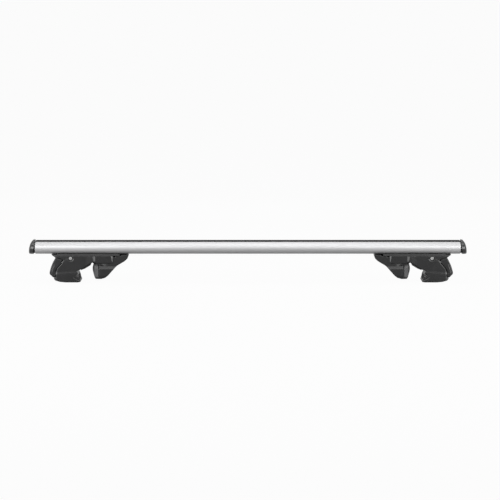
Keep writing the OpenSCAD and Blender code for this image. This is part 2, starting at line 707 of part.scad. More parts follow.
// Room for the jaw to close further, and the gap between its rim and the bar
jaw_room = 5.3;
jaw_rim = 1.5;
jaw_low = ground + jaw_rise;
shelf_z = -arm_drop - 0.8;
nut_x = nose_x + 18;
nut_half = 6.5;
nut_t = 6.5;
function jaw_outline() = [
    [nose_x + 9, jaw_low + 0.3, 3], [nose_x + 23.5, jaw_low, 12], [nose_x + 34.5, jaw_low + 3, 14],
    [nose_x + 43, jaw_low + 9.8, 12], [nose_x + 66, -32.6, 40], [nose_x + 88.5, -19.4, 26],
    [nose_x + 97.2, -11, 12], [nose_x + 98.4, -jaw_rim, 1.5], [saddle_x1 + jaw_room, -jaw_rim, 1],
    [saddle_x1 + jaw_room, top_z - slide_gap, 1], [arm_end + jaw_room, top_z - slide_gap, 1],
    [arm_end + jaw_room, jaw_top, 1], [nose_x + 10.5, jaw_top, 1.5], [nose_x + 10.5, shelf_z, 2],
    [nose_x + 2.8, shelf_z, 2.5], [nose_x - 0.6, -39.5, 24], [nose_x + 0.6, ground + 30, 24],
    [nose_x + 6, jaw_low + 4.2, 10]
];
function jaw_sides() = let (claw = jaw_claw_w / 2) [
    [-claw + 2.5, jaw_low - cut], [claw - 2.5, jaw_low - cut], [claw, jaw_low + 11], [claw, -47], [jaw_half, -35.5],
    [jaw_half, 0], [-jaw_half, 0], [-jaw_half, -35.5], [-claw, -47], [-claw, jaw_low + 11]
];
function jaw_plan() = let (claw = jaw_claw_w / 2 + cut) [
    [nose_x - 1.5, -12], [nose_x + nose_depth, -claw], [nose_x + 110, -claw], [nose_x + 110, claw], [nose_x + nose_depth, claw],
    [nose_x - 1.5, 12]
];
// The rubber nose wraps the jaw's front between these heights
nose_low = jaw_low + 5.6;
nose_high = shelf_z - 3.5;
nose_depth = 17;
module jaw_blank() {
    intersection() {
        skin(jaw_outline(), jaw_claw_w / 2, edge_r);
        along_x(nose_x - 2, nose_x + 100) polygon(jaw_sides());
        translate([0, 0, jaw_low - cut]) linear_extrude(foot_drop) polygon(jaw_plan());
    }
}
// The part of the jaw that the rubber nose is moulded over
module nose_core() {
    inner = jaw_claw_w / 2 - jaw_pad_t;
    intersection() {
        along_y(-jaw_claw_w, jaw_claw_w) polygon([
            [nose_x + 5.4 + jaw_pad_t, nose_low - cut], [nose_x + 2.5 + jaw_pad_t, ground + 24],
            [nose_x + 0.8 + jaw_pad_t, -48], [nose_x + jaw_pad_t, -40], [nose_x + 1.4 + jaw_pad_t, nose_high + cut],
            [nose_x + nose_depth + cut, nose_high + cut], [nose_x + nose_depth + cut, nose_low - cut]
        ]);
        translate([0, 0, jaw_low]) linear_extrude(foot_drop) polygon([
            [nose_x + 0.5, 10 - jaw_pad_t], [nose_x + 0.5, jaw_pad_t - 10], [nose_x + nose_depth, -inner],
            [nose_x + nose_depth + cut, -inner], [nose_x + nose_depth + cut, inner], [nose_x + nose_depth, inner]
        ]);
    }
}
module nose_shell() {
    difference() {
        block([nose_x - 6, -jaw_claw_w, nose_low], [nose_x + nose_depth, jaw_claw_w, nose_high]);
        nose_core();
    }
}
module jaw() {
    difference() {
        jaw_blank();
        nose_shell();
        rod_x(nose_x + 9, nose_x + 36, -screw_drop, screw_r + hole_gap);
        block([nut_x - 0.1, -nut_half - 0.1, -screw_drop - nut_half - 0.1], [nut_x + nut_t + 0.1, nut_half + 0.1, 0]);
        along_y(3.4 - jaw_half, jaw_half - 3.4) polygon(rounded([
            [nose_x + 32, 3, 0], [nose_x + 32, -46, 4], [nose_x + 41, -52, 4], [nose_x + 63.5, -29.5, 20],
            [nose_x + 86, -15.6, 10], [nose_x + 92, -8, 6], [nose_x + 93.5, 3, 0]
        ]));
        for (side = [-1, 1])
            block([nose_x + 12, side > 0 ? 2 : 4 - jaw_half, jaw_low - cut], [nose_x + 27, side > 0 ? jaw_half - 4 : -2, shelf_z - 7]);
    }
}
module jaw_pad() {
    intersection() {
        jaw_blank();
        nose_shell();
    }
}
module clamp_nut() {
    difference() {
        block([nut_x, -nut_half, -screw_drop - nut_half], [nut_x + nut_t, nut_half, -screw_drop + nut_half]);
        rod_x(nut_x - cut, nut_x + nut_t + cut, -screw_drop, screw_r + running_gap);
    }
}

// The two feet
module left_housing() {
    color("#39393b") on_left() housing();
}
module left_saddle() {
    color("#303032") on_left() saddle();
}
module left_saddle_pad() {
    color("#1b1b1c") on_left() saddle_pad();
}
module left_channel_plate() {
    color("silver") on_left() channel_plate();
}
module left_saddle_screws() {
    color("silver") on_left() saddle_screws();
}
module left_rail_pad() {
    color("#161617") on_left() rail_pad();
}
module left_claw_pad() {
    color("#161617") on_left() claw_pad();
}
module left_hinge_pin() {
    color("silver") on_left() hinge_pin();
}
module left_end_cover() {
    color("#39393b") on_left() end_cover();
}
module left_clamp_screw() {
    color("silver") on_left() clamp_screw();
}
module left_clamp_washer() {
    color("silver") on_left() clamp_washer();
}
module left_retaining_clip() {
    color("gray") on_left() retaining_clip();
}
module left_lock_sleeve() {
    color("#3c3c3e") on_left() lock_sleeve();
}
module left_lock_barrel() {
    color("gainsboro") on_left() lock_barrel();
}
module left_lock_cam() {
    color("silver") on_left() lock_cam();
}
module left_cam_screw() {
    color("silver") on_left() cam_screw();
}
module left_jaw() {
    color("#39393b") on_left() jaw();
}
module left_jaw_pad() {
    color("#3f3f41") on_left() jaw_pad();
}
module left_clamp_nut() {
    color("silver") on_left() clamp_nut();
}
module right_housing() {
    color("#39393b") on_right() housing();
}
module right_saddle() {
    color("#303032") on_right() saddle();
}
module right_saddle_pad() {
    color("#1b1b1c") on_right() saddle_pad();
}
module right_channel_plate() {
    color("silver") on_right() channel_plate();
}
module right_saddle_screws() {
    color("silver") on_right() saddle_screws();
}
module right_rail_pad() {
    color("#161617") on_right() rail_pad();
}
module right_claw_pad() {
    color("#161617") on_right() claw_pad();
}
module right_hinge_pin() {
    color("silver") on_right() hinge_pin();
}
module right_end_cover() {
    color("#39393b") on_right() end_cover();
}
module right_clamp_screw() {
    color("silver") on_right() clamp_screw();
}
module right_clamp_washer() {
    color("silver") on_right() clamp_washer();
}
module right_retaining_clip() {
    color("gray") on_right() retaining_clip();
}
module right_lock_sleeve() {
    color("#3c3c3e") on_right() lock_sleeve();
}
module right_lock_barrel() {
    color("gainsboro") on_right() lock_barrel();
}
module right_lock_cam() {
    color("silver") on_right() lock_cam();
}
module right_cam_screw() {
    color("silver") on_right() cam_screw();
}
module right_jaw() {
    color("#39393b") on_right() jaw();
}
module right_jaw_pad() {
    color("#3f3f41") on_right() jaw_pad();
}
module right_clamp_nut() {
    color("silver") on_right() clamp_nut();
}

bar_extrusion();
rubber_strip();
left_end_cap();
right_end_cap();
left_housing();
left_saddle();
left_saddle_pad();
left_channel_plate();
left_saddle_screws();
left_rail_pad();
left_claw_pad();
left_hinge_pin();
left_end_cover();
left_clamp_screw();
left_clamp_washer();
left_retaining_clip();
left_lock_sleeve();
left_lock_barrel();
left_lock_cam();
left_cam_screw();
left_jaw();
left_jaw_pad();
left_clamp_nut();
right_housing();
right_saddle();
right_saddle_pad();
right_channel_plate();
right_saddle_screws();
right_rail_pad();
right_claw_pad();
right_hinge_pin();
right_end_cover();
right_clamp_screw();
right_clamp_washer();
right_retaining_clip();
right_lock_sleeve();
right_lock_barrel();
right_lock_cam();
right_cam_screw();
right_jaw();
right_jaw_pad();
right_clamp_nut();
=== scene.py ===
"""Looks of a roof rack crossbar: an oval aluminium bar on two lockable clamp feet.

Lengths in the shapes below are millimetres. A foot is drawn in its own frame: x is 0 at the rail's
centreline and grows towards the middle of the bar, z is 0 at the bar's underside. It is then moved
to the left foot's place, or mirrored to the right one's.
"""

import json
import math

import bmesh
import bpy
import numpy as np
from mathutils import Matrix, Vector
from mathutils.geometry import delaunay_2d_cdt

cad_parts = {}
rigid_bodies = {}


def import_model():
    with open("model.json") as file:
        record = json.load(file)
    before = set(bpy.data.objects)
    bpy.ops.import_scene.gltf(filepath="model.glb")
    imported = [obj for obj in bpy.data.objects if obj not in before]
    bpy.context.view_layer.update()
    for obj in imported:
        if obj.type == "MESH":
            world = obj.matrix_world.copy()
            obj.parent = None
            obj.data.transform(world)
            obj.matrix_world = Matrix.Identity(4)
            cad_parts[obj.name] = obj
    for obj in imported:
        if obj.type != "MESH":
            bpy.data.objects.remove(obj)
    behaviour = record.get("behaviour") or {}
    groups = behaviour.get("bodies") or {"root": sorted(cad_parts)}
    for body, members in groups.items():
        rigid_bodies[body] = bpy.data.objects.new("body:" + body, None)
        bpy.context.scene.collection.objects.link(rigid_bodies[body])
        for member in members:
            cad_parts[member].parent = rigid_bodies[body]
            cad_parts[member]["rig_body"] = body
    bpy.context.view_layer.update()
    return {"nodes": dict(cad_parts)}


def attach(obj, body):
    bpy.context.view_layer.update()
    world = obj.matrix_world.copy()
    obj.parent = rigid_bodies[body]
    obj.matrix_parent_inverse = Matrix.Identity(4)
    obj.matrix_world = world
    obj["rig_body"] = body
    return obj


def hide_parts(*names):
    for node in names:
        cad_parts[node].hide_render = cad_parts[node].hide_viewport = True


bl_info = {
    "name": "Roof rack crossbar",
    "version": (1, 0, 0),
    "blender": (4, 5, 0),
    "location": "View3D > Sidebar > Crossbar",
    "description": "Builds the looks of a roof rack crossbar round its packed solids",
    "category": "Object",
}

for spare in list(bpy.data.objects):
    bpy.data.objects.remove(spare)
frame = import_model()

MM = 0.001
SIDES = ("left", "right")

# Bar, in millimetres
BAR_HALF = 584.0
BAR_W, BAR_H = 64.0, 33.0
BAR_NOSE_R, BAR_BULGE, FLAT_W = 13.0, 1.0, 24.0
BAR_WALL, NOSE_WEB = 2.0, 12.5
TOP_SLOT = {"opening": 12.0, "inner": 21.0, "depth": 9.0, "lip": 2.4}
CHANNEL = {"opening": 10.5, "inner": 21.0, "depth": 9.0, "lip": 2.4}
SAW_CHAMFER, SAW_SHARE = 0.5, 0.99
STRIP_RISE = 2.0
CREST_Z = 37.5
CAP_LIP = 0.6
# The dark ring at each end between cap and tube is sunk in by the inset. Its near-black rubber colour is
# painted shade for the groove there, beside the real shade of its sunk face.
SHADE_RING_INSIDE, SHADE_RING_OUTSIDE, SHADE_RING_INSET = 3.4, 3.2, 2.2
PLUG_DEPTH, PLUG_GAP, PLUG_WALL, PLUG_JOIN = 22.0, 0.3, 2.0, 0.3
FOOT_DROP = 77.0
RAIL_X = {"left": -441.5, "right": 460.5}

# Foot, in its own frame, in millimetres
GROUND = -FOOT_DROP
CLAW_X, NOSE_X = -16.5, 16.5
BODY_HALF, ARM_HALF, JAW_HALF, CLAW_HALF = 29.0, 26.5, 23.0, 28.0
ARM_END = NOSE_X + 57.5
ARM_DROP = 24.8
TOP_Z = -4.2
WALL, EDGE = 3.2, 2.0
GAP = 0.3
HINGE = np.array([CLAW_X - 72.0, GROUND + 18.0])
COVER_R = 49.9
COVER_WALL, COVER_EDGE = 2.6, 3.2
KNUCKLE_R, PIN_R = 4.8, 2.0
LIP_ANGLE, LIP_WIDTH, TONGUE_TOP = 32.2, 2.8, 89
SADDLE_END = ARM_END + 16.5
JAW_ROOM, JAW_RIM = 5.3, 1.5
LOCK = np.array([CLAW_X - 26.2, -10.6])
SLEEVE_R, SLEEVE_DEPTH, CAM_R = 6.3, 13.0, 5.0
TONGUE_Y, LIP_Y, LUG_Y = (-13.3, -10.7), -16.3, (19.0, 26.1)
TONGUE_BACK, TONGUE_FRONT = COVER_R - 6.9, COVER_R - 0.5
SCREW_Z = -15.0
SCREW_R, HEAD_R = 4.0, 6.5
WALL_X1 = CLAW_X - 37.0
WALL_X0 = WALL_X1 - 5.0
SADDLE_X, SADDLE_SCREW_X, SADDLE_SCREW_HOLE_R = CLAW_X + 0.5, 27.0, 3.5
# The cradle's rims: past this y they end at this height above the bar's underside and lean in by this
RIM_Y, RIM_Z, RIM_TAPER = 22.0, 2.8, 2.1

# Jaw, in the foot's frame
JAW_TOP = TOP_Z - WALL - GAP
JAW_LOW = GROUND + 8.8
SHELF_Z = -ARM_DROP - 0.8
NOSE_LOW, NOSE_HIGH, NOSE_DEPTH = JAW_LOW + 5.6, SHELF_Z - 3.5, 17.0
NOSE_WALL = 2.4

# Relief on the foot's side, in the foot's frame
# Corners of the line between cover and body: x from the hinge, height above it as a share of COVER_R
PARTING = [(21.0, 0.675), (8.3, 0.403), (3.6, 0.193)]
CREASE_X, CREASE_Z, CREASE_SLOPE = -75.0, GROUND + 29.3, 0.057
SHOULDER_X0, SHOULDER_X1 = NOSE_X + 2.8, NOSE_X + 10.2
SHOULDER_SWELL, LEAN, LEAN_Z = 1.9, 0.2, -14.5
RIB_CORNERS = np.array([(-23.6, GROUND + 29.0), (-31.0, GROUND + 16.8), (-21.2, GROUND + 11.4)])
STRIPE_CENTRE, STRIPE_R = np.array([-12.3, GROUND + 36.6]), 30.6
DIAGONAL = np.array([(-46.0, -5.4), (-71.5, -31.2)])
COVER_LINE = np.array([(-94.0, -66.0), (-94.0, -51.3), (-91.3, -40.3), (-85.8, -26.4), (-81.5, -8.0)])


# Outlines

def corner_arc(before, here, after, inset):
    """One corner of an outline that runs anticlockwise: the arc of radius here[2] that touches both
    edges, after the edges have moved inwards by inset. An outward corner's radius shrinks by the
    inset, but never below a least share of itself, and an inward corner's radius grows."""
    least_share, step_angle = 0.3, 6
    u = (here[:2] - before[:2]) / np.linalg.norm(here[:2] - before[:2])
    v = (after[:2] - here[:2]) / np.linalg.norm(after[:2] - here[:2])
    n, m = np.array([-u[1], u[0]]), np.array([-v[1], v[0]])
    share = 1 + n @ m
    tip = here[:2] + inset * (n + m) / share
    if here[2] == 0:
        return tip[None]
    side = 1 if u[0] * v[1] - u[1] * v[0] >= 0 else -1
    bend = math.acos(max(-1, min(1, u @ v)))
    r = max(here[2] - inset, here[2] * least_share) if side > 0 else here[2] + inset
    steps = max(2, math.ceil(math.degrees(bend) / step_angle))
    middle = tip + side * r * (n + m) / share
    a = math.atan2(-side * n[1], -side * n[0]) + side * bend * np.arange(steps + 1) / steps
    return middle + r * np.column_stack([np.cos(a), np.sin(a)])


def outline(corners, inset=0.0, longest=2.5):
    """Points of a rounded outline. Straight stretches get points too, no further apart than longest,
    and as many for every inset, so that outlines of different inset can be joined point to point."""
    c = np.array(corners, float)
    near = [(c[i - 1], c[i], c[(i + 1) % len(c)]) for i in range(len(c))]
    plain = [corner_arc(*three, 0.0) for three in near]
    moved = [corner_arc(*three, inset) for three in near]
    points = []
    for i, arc in enumerate(moved):
        j = (i + 1) % len(c)
        count = max(1, math.ceil(np.linalg.norm(plain[j][0] - plain[i][-1]) / longest))
        t = np.arange(1, count)[:, None] / count
        points += [arc, arc[-1] + (moved[j][0] - arc[-1]) * t]
    return np.vstack(points)


def arc_points(centre, r, a, b, steps):
    """Points along a circle about centre from angle a to angle b, in degrees."""
    t = np.radians(np.linspace(a, b, steps + 1))
    return np.column_stack([centre[0] + r * np.cos(t), centre[1] + r * np.sin(t)])


def sharp(points):
    """The same points as corners of no radius."""
    return [[p[0], p[1], 0.0] for p in points]


def smooth(t):
    """The easy curve s(t) of the formulas below: 0 below 0, 1 above 1 and t*t*(3 - 2*t) between."""
    t = np.clip(t, 0.0, 1.0)
    return t * t * (3 - 2 * t)


def ramp(value, start, end):
    """0 where the value is at start, 1 where it is at end, and the easy curve between."""
    return smooth((value - start) / (end - start))


def bell(t):
    """A bell curve of height 1 about 0: e to the power of -t*t."""
    return np.exp(-t ** 2)


def inside(points, loops):
    """Which points lie inside the loops, by the even-odd rule on rays that run along the first axis."""
    hits = np.zeros(len(points), int)
    for loop in loops:
        a, b = loop, np.roll(loop, -1, axis=0)
        y = points[:, 1][:, None]
        spans = (a[:, 1] > y) != (b[:, 1] > y)
        rise = np.where(b[:, 1] == a[:, 1], 1.0, b[:, 1] - a[:, 1])
        cross = a[:, 0] + (y - a[:, 1]) * (b[:, 0] - a[:, 0]) / rise
        hits += (spans & (points[:, 0][:, None] < cross)).sum(1)
    return hits % 2 == 1


def fill(loops, spacing=0.0, extra=None):
    """Triangles over the area inside the loops. Points of a square grid, spacing apart, and the extra
    points are added inside it, the grid's clear of the extra ones and all of them clear of the loops.
    Returns all points, the loops' own first, and the triangles."""
    clear_of_extra, clear_of_loop, widest, same, no_area = 0.6, 0.45, 1.5, 1e-6, 1e-9
    ring = np.vstack(loops)
    points = [ring]
    if spacing:
        low, high = ring.min(0) + spacing / 2, ring.max(0)
        rows = [np.arange(low[i], high[i], spacing) for i in (0, 1)]
        grid = np.stack(np.meshgrid(*rows), -1).reshape(-1, 2)
        if extra is not None and len(extra):
            apart = np.linalg.norm(grid[:, None] - extra[None], axis=2).min(1)
            grid = np.vstack([grid[apart > clear_of_extra * spacing], extra])
        grid = grid[inside(grid, loops)]
        apart = np.linalg.norm(grid[:, None] - ring[None], axis=2).min(1)
        points.append(grid[apart > clear_of_loop * min(spacing, widest)])
    points = np.vstack(points)
    edges, first = [], 0
    for loop in loops:
        edges += [(first + i, first + (i + 1) % len(loop)) for i in range(len(loop))]
        first += len(loop)
    _, _, faces, source, _, _ = delaunay_2d_cdt([Vector(p) for p in points], edges, [], 0, same)
    faces = np.array([[source[i][0] for i in f] for f in faces], int)
    a, b, c = points[faces[:, 0]], points[faces[:, 1]], points[faces[:, 2]]
    turn = (b[:, 0] - a[:, 0]) * (c[:, 1] - a[:, 1]) - (b[:, 1] - a[:, 1]) * (c[:, 0] - a[:, 0])
    faces = np.where(turn[:, None] > 0, faces, faces[:, ::-1])
    keep = inside((a + b + c) / 3, loops) & (np.abs(turn) > no_area)
    return points, faces[keep]


# Solids: each is a pair of vertices (n, 3) and a list of faces

def quads(rows, count, first=0, closed=True):
    """Faces that join rows of count points each, row by row; closed joins the last point to the first."""
    k = np.arange(count if closed else count - 1)
    j = np.arange(rows - 1)[:, None] * count
    after = (k + 1) % count
    return np.stack([j + k, j + count + k, j + count + after, j + after], -1).reshape(-1, 4) + first


def skin(corners, half, edge=EDGE, spacing=2.5, steps=5, extra=None, across=(0.5, 0.8)):
    """A moulding seen from the side: the outline carried from y = -half to y = half, drawn in at both
    sides along a quarter circle of radius edge, and closed by finely meshed flat faces. Further rows of
    points run at the given shares of the way across."""
    a = np.radians(np.linspace(0, 90, steps + 1))
    y = half - edge + edge * np.cos(a)
    inset = edge * (1 - np.sin(a))
    between = (half - edge) * np.array(across)[::-1]
    y = np.concatenate([-y, -between, between[::-1], y[::-1]])
    inset = np.concatenate([inset, np.zeros(2 * len(between)), inset[::-1]])
    rings = np.stack([outline(corners, d) for d in inset])
    count = rings.shape[1]
    side, triangles = fill([rings[0]], spacing, extra)
    grid = side[count:]
    rows = np.concatenate([np.broadcast_to(y[:, None, None], rings.shape[:2] + (1,)), rings], -1)
    verts = [rows.reshape(-1, 3)[:, [1, 0, 2]]]
    for value in (-half, half):
        verts.append(np.column_stack([grid[:, 0], np.full(len(grid), value), grid[:, 1]]))
    wall = count * len(y)
    near = np.where(triangles >= count, triangles - count + wall, triangles)
    far = np.where(triangles >= count, triangles - count + wall + len(grid), triangles + wall - count)
    return np.vstack(verts), [quads(len(y), count), near, far[:, ::-1]]


def wound(loop, anticlockwise):
    """The loop's points in the wanted direction."""
    loop = np.array(loop, float)
    after = np.roll(loop, -1, axis=0)
    area = (loop[:, 0] * after[:, 1] - loop[:, 1] * after[:, 0]).sum()
    return loop if (area > 0) == anticlockwise else loop[::-1]


def prism(loops, low, high, axis="y"):
    """The area inside the first loop and outside the others, carried straight along an axis from low to
    high, with flat ends."""
    loops = [wound(loop, i == 0) for i, loop in enumerate(loops)]
    points, triangles = fill(loops)
    n = len(points)
    ends = [np.insert(points, 1, value, axis=1) for value in (low, high)]
    faces, first = [triangles, triangles[:, ::-1] + n], 0
    for loop in loops:
        k = np.arange(len(loop))
        after = (k + 1) % len(loop)
        faces.append(np.stack([k, k + n, after + n, after], -1) + first)
        first += len(loop)
    verts = np.vstack(ends)
    if axis == "x":
        verts = verts[:, [1, 0, 2]]
        faces = [f[:, ::-1] for f in faces]
    if axis == "z":
        verts = verts[:, [0, 2, 1]]
        faces = [f[:, ::-1] for f in faces]
    return verts, faces


def rod(x, z, low, high, r, axis="y", sides=64):
    """A round rod along an axis, closed at both ends."""
    return prism([arc_points((x, z), r, 0, 360 - 360 / sides, sides - 1)], low, high, axis)


def block(low, high):
    """A block between two corners."""
    (x0, y0, z0), (x1, y1, z1) = low, high
    return prism([[(x0, z0), (x1, z0), (x1, z1), (x0, z1)]], y0, y1)


def joined(*solids):
    """Several solids as one set of vertices and faces."""
    verts, faces, first = [], [], 0
    for v, f in solids:
        verts.append(v)
        faces += [part + first for part in f]
        first += len(v)
    return np.vstack(verts), faces


def mesh_of(name, solid):
    """A mesh made from vertices in millimetres and faces."""
    verts, faces = solid
    mesh = bpy.data.meshes.new(name)
    mesh.from_pydata((verts * MM).tolist(), [], [f for part in faces for f in part.tolist()])
    mesh.update()
    return mesh


def carve(body, cutters, operation="DIFFERENCE"):
    """The body with each cutter taken away, or with only what it shares with each cutter kept."""
    scene = bpy.context.scene.collection
    made = [bpy.data.objects.new("carve", mesh_of("carve", solid)) for solid in [body, *cutters]]
    for o in made:
        scene.objects.link(o)
    for cutter in made[1:]:
        m = made[0].modifiers.new("cut", "BOOLEAN")
        m.operation = operation
        m.solver = "MANIFOLD"
        m.object = cutter
    bpy.context.view_layer.update()
    result = bpy.data.meshes.new_from_object(made[0].evaluated_get(bpy.context.evaluated_depsgraph_get()))
    if len(cutters) and len(result.vertices) == len(body[0]):
        raise RuntimeError("a cut changed nothing")
    verts = np.empty(len(result.vertices) * 3)
    result.vertices.foreach_get("co", verts)
    sizes = np.empty(len(result.polygons), int)
    starts = np.empty(len(result.polygons), int)
    corners = np.empty(len(result.loops), int)
    result.polygons.foreach_get("loop_total", sizes)
    result.polygons.foreach_get("loop_start", starts)
    result.loops.foreach_get("vertex_index", corners)
    faces = [corners[starts[sizes == n][:, None] + np.arange(n)] for n in np.unique(sizes)]
    for o in made:
        mesh = o.data
        bpy.data.objects.remove(o)
        bpy.data.meshes.remove(mesh)
    bpy.data.meshes.remove(result)
    return verts.reshape(-1, 3) / MM, faces


def to_foot(solid, side):
    """Moves a solid from the foot's own frame to the left foot, or mirrored to the right foot."""
    verts, faces = solid
    place = np.array([RAIL_X[side], 0, FOOT_DROP])
    if side == "left":
        return verts + place, faces
    return verts * np.array([-1.0, 1.0, 1.0]) + place, [f[:, ::-1] for f in faces]


def add_piece(name, solid, material, body, nodes, angle=32):
    """Makes the solid a piece that rides on a body and stands for the nodes."""
    return shown(name, mesh_of(name, solid), material, body, nodes, angle, 0.0)


def shown(name, mesh, material, body, nodes, angle, bevel):
    """Puts a mesh in the scene as a piece. Edges sharper than the angle stay sharp, and a bevel rounds
    them."""
    piece = bpy.data.objects.new(name, mesh)
    bpy.context.scene.collection.objects.link(piece)
    mesh.materials.append(material)
    mesh.polygons.foreach_set("use_smooth", np.ones(len(mesh.polygons), bool))
    mesh.set_sharp_from_angle(angle=math.radians(angle))
    if bevel:
        add_bevel(piece, bevel)
    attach(piece, body)
    if nodes:
        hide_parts(*nodes)
    return piece


def add_bevel(piece, width):
    """Rounds the piece's sharp edges."""
    m = piece.modifiers.new("edges", "BEVEL")
    m.width = width * MM
    m.segments = 2
    m.limit_method = "ANGLE"
    m.angle_limit = math.radians(35)
    m.harden_normals = True


def lower_rim(mesh):
    """Lowers the rims of the cradle and its pad, which hug the bar a little more closely, and leans
    their sides in towards the top: z = min(z, rim), and above the bar's underside y moves in by the
    taper."""
    points = np.empty(len(mesh.vertices) * 3)
    mesh.vertices.foreach_get("co", points)
    points = points.reshape(-1, 3)
    rim = np.abs(points[:, 1]) > RIM_Y * MM
    points[rim, 2] = np.minimum(points[rim, 2], (FOOT_DROP + RIM_Z) * MM)
    above = 0.2
    high = rim & (points[:, 2] > (FOOT_DROP + above) * MM)
    points[high, 1] -= np.sign(points[high, 1]) * RIM_TAPER * MM
    mesh.vertices.foreach_set("co", points.ravel())


def copy_node(node, material, bevel):
    """A copy of a solid with its doubles merged, flat areas made whole and edges rounded, which
    stands for the solid."""
    source = frame["nodes"][node]
    mesh = source.data.copy()
    b = bmesh.new()
    b.from_mesh(mesh)
    bmesh.ops.remove_doubles(b, verts=b.verts, dist=1e-6)
    bmesh.ops.dissolve_limit(b, angle_limit=math.radians(0.4), verts=b.verts, edges=b.edges)
    b.to_mesh(mesh)
    b.free()
    if "saddle" in node and "screws" not in node:
        lower_rim(mesh)
    mesh.materials.clear()
    return shown(node + "_finished", mesh, material, source["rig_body"], [node], 30, bevel)


# Finishes

NOISE_LOW, NOISE_HIGH = 0.3, 0.7
ROUGHNESS_SPREAD = 0.04
MOULDED = {
    # finish: its colour, roughness (None for the sidebar's), the grain's size and depth, and the shine
    "strip rubber": ("rubber", 0.8, 0.5, 0.03, 0.1),
    "pad rubber": ("rubber", 0.7, 0.8, 0.05, 0.25),
    "cap plastic": ("cap_plastic", 0.3, 0.6, 0.012, 0.5),
    "foot plastic": ("foot_plastic", None, 0.7, 0.04, 0.5),
    "nose plastic": ("nose_plastic", 0.6, 1.6, 0.12, 0.5),
}
PLATED = {
    # finish: its colour and roughness
    "zinc plated steel": ("steel", 0.32),
    "lock nickel": ("lock_metal", 0.2),
}


def principled(name):
    """A new material and its shader."""
    material = bpy.data.materials.new(name)
    material.use_nodes = True
    return material, material.node_tree.nodes["Principled BSDF"]


def object_noise(material, scale, stretch=(1, 1, 1), detail=3.0):
    """Noise over the piece's own coordinates, finer with a larger scale and drawn out by a small stretch."""
    tree = material.node_tree
    place = tree.nodes.new("ShaderNodeTexCoord")
    turn = tree.nodes.new("ShaderNodeMapping")
    turn.inputs["Scale"].default_value = stretch
    noise = tree.nodes.new("ShaderNodeTexNoise")
    noise.inputs["Scale"].default_value = scale
    noise.inputs["Detail"].default_value = detail
    tree.links.new(place.outputs["Object"], turn.inputs["Vector"])
    tree.links.new(turn.outputs["Vector"], noise.inputs["Vector"])
    return noise


def vary(material, noise, socket, low, high):
    """Lets a socket run between two values with the noise."""
    tree = material.node_tree
    span = tree.nodes.new("ShaderNodeMapRange")
    span.inputs["From Min"].default_value = NOISE_LOW
    span.inputs["From Max"].default_value = NOISE_HIGH
    span.inputs["To Min"].default_value = low
    span.inputs["To Max"].default_value = high
    tree.links.new(noise.outputs["Fac"], span.inputs["Value"])
    tree.links.new(span.outputs["Result"], socket)


def vary_colour(material, noise, shader, low, high):
    """Lets the base colour run between two colours with the noise."""
    tree = material.node_tree
    span = tree.nodes.new("ShaderNodeValToRGB")
    start, end = span.color_ramp.elements
    start.position, end.position = NOISE_LOW, NOISE_HIGH
    start.color, end.color = (*low, 1), (*high, 1)
    tree.links.new(noise.outputs["Fac"], span.inputs["Fac"])
    tree.links.new(span.outputs["Color"], shader.inputs["Base Color"])


def grain(material, noise, shader, depth, strength):
    """A fine relief on the surface."""
    tree = material.node_tree
    bump = tree.nodes.new("ShaderNodeBump")
    bump.inputs["Strength"].default_value = strength
    bump.inputs["Distance"].default_value = depth * MM
    tree.links.new(noise.outputs["Fac"], bump.inputs["Height"])
    tree.links.new(bump.outputs["Normal"], shader.inputs["Normal"])


def tinted(colour, share):
    """The colour made lighter or darker by a share."""
    return tuple(min(1.0, c * share) for c in colour[:3])


def anodised_aluminium(look):
    """Satin clear anodised aluminium with the fine lines that the die leaves along the bar."""
    material, shader = principled("anodised aluminium")
    shader.inputs["Metallic"].default_value = 1.0
    lines = object_noise(material, 1.0, (1.5, 900, 900), 2.0)
    vary_colour(material, lines, shader, tinted(look.aluminium, 0.97), tinted(look.aluminium, 1.02))
    rough = look.aluminium_roughness
    vary(material, lines, shader.inputs["Roughness"], rough - ROUGHNESS_SPREAD, rough + ROUGHNESS_SPREAD)
    grain(material, lines, shader, 0.01, 0.1)
    return material


def moulded_plastic(name, colour, rough, size, depth, shine):
    """Dark moulded plastic with a fine grain of the given size and depth."""
    material, shader = principled(name)
    cells = object_noise(material, 1000 / size, detail=2.0)
    cloud = object_noise(material, 35, detail=4.0)
    vary_colour(material, cloud, shader, tinted(colour, 0.9), tinted(colour, 1.1))
    vary(material, cloud, shader.inputs["Roughness"], rough - ROUGHNESS_SPREAD, rough + ROUGHNESS_SPREAD)
    grain(material, cells, shader, depth, 0.5)
    shader.inputs["Specular IOR Level"].default_value = shine
    return material


def plated_metal(name, colour, roughness):
    """Plated metal with faint cloudy differences of gloss."""
    material, shader = principled(name)
    shader.inputs["Metallic"].default_value = 1.0
    shader.inputs["Base Color"].default_value = (*colour[:3], 1)
    cloud = object_noise(material, 220, detail=4.0)
    vary(material, cloud, shader.inputs["Roughness"], roughness - 0.05, roughness + 0.08)
    return material


def finish(name):
    """The finish of that name, made once from the sidebar's values."""
    if name in bpy.data.materials:
        return bpy.data.materials[name]
    look = bpy.context.scene.crossbar_look
    if name == "anodised aluminium":
        return anodised_aluminium(look)
    if name in PLATED:
        value, rough = PLATED[name]
        return plated_metal(name, getattr(look, value), rough)
    value, rough, size, depth, shine = MOULDED[name]
    return moulded_plastic(name, getattr(look, value), rough or look.foot_roughness, size, depth, shine)


# Bar, strip and caps

def arc_radius(height):
    """Radius of the shallow arc that crests at this height above the section's middle and runs on
    into both nose circles: (c*c + height*height - r*r) / (2 * (height - r))."""
    c = BAR_W / 2 - BAR_NOSE_R
    return (c * c + height * height - BAR_NOSE_R ** 2) / (2 * (height - BAR_NOSE_R))


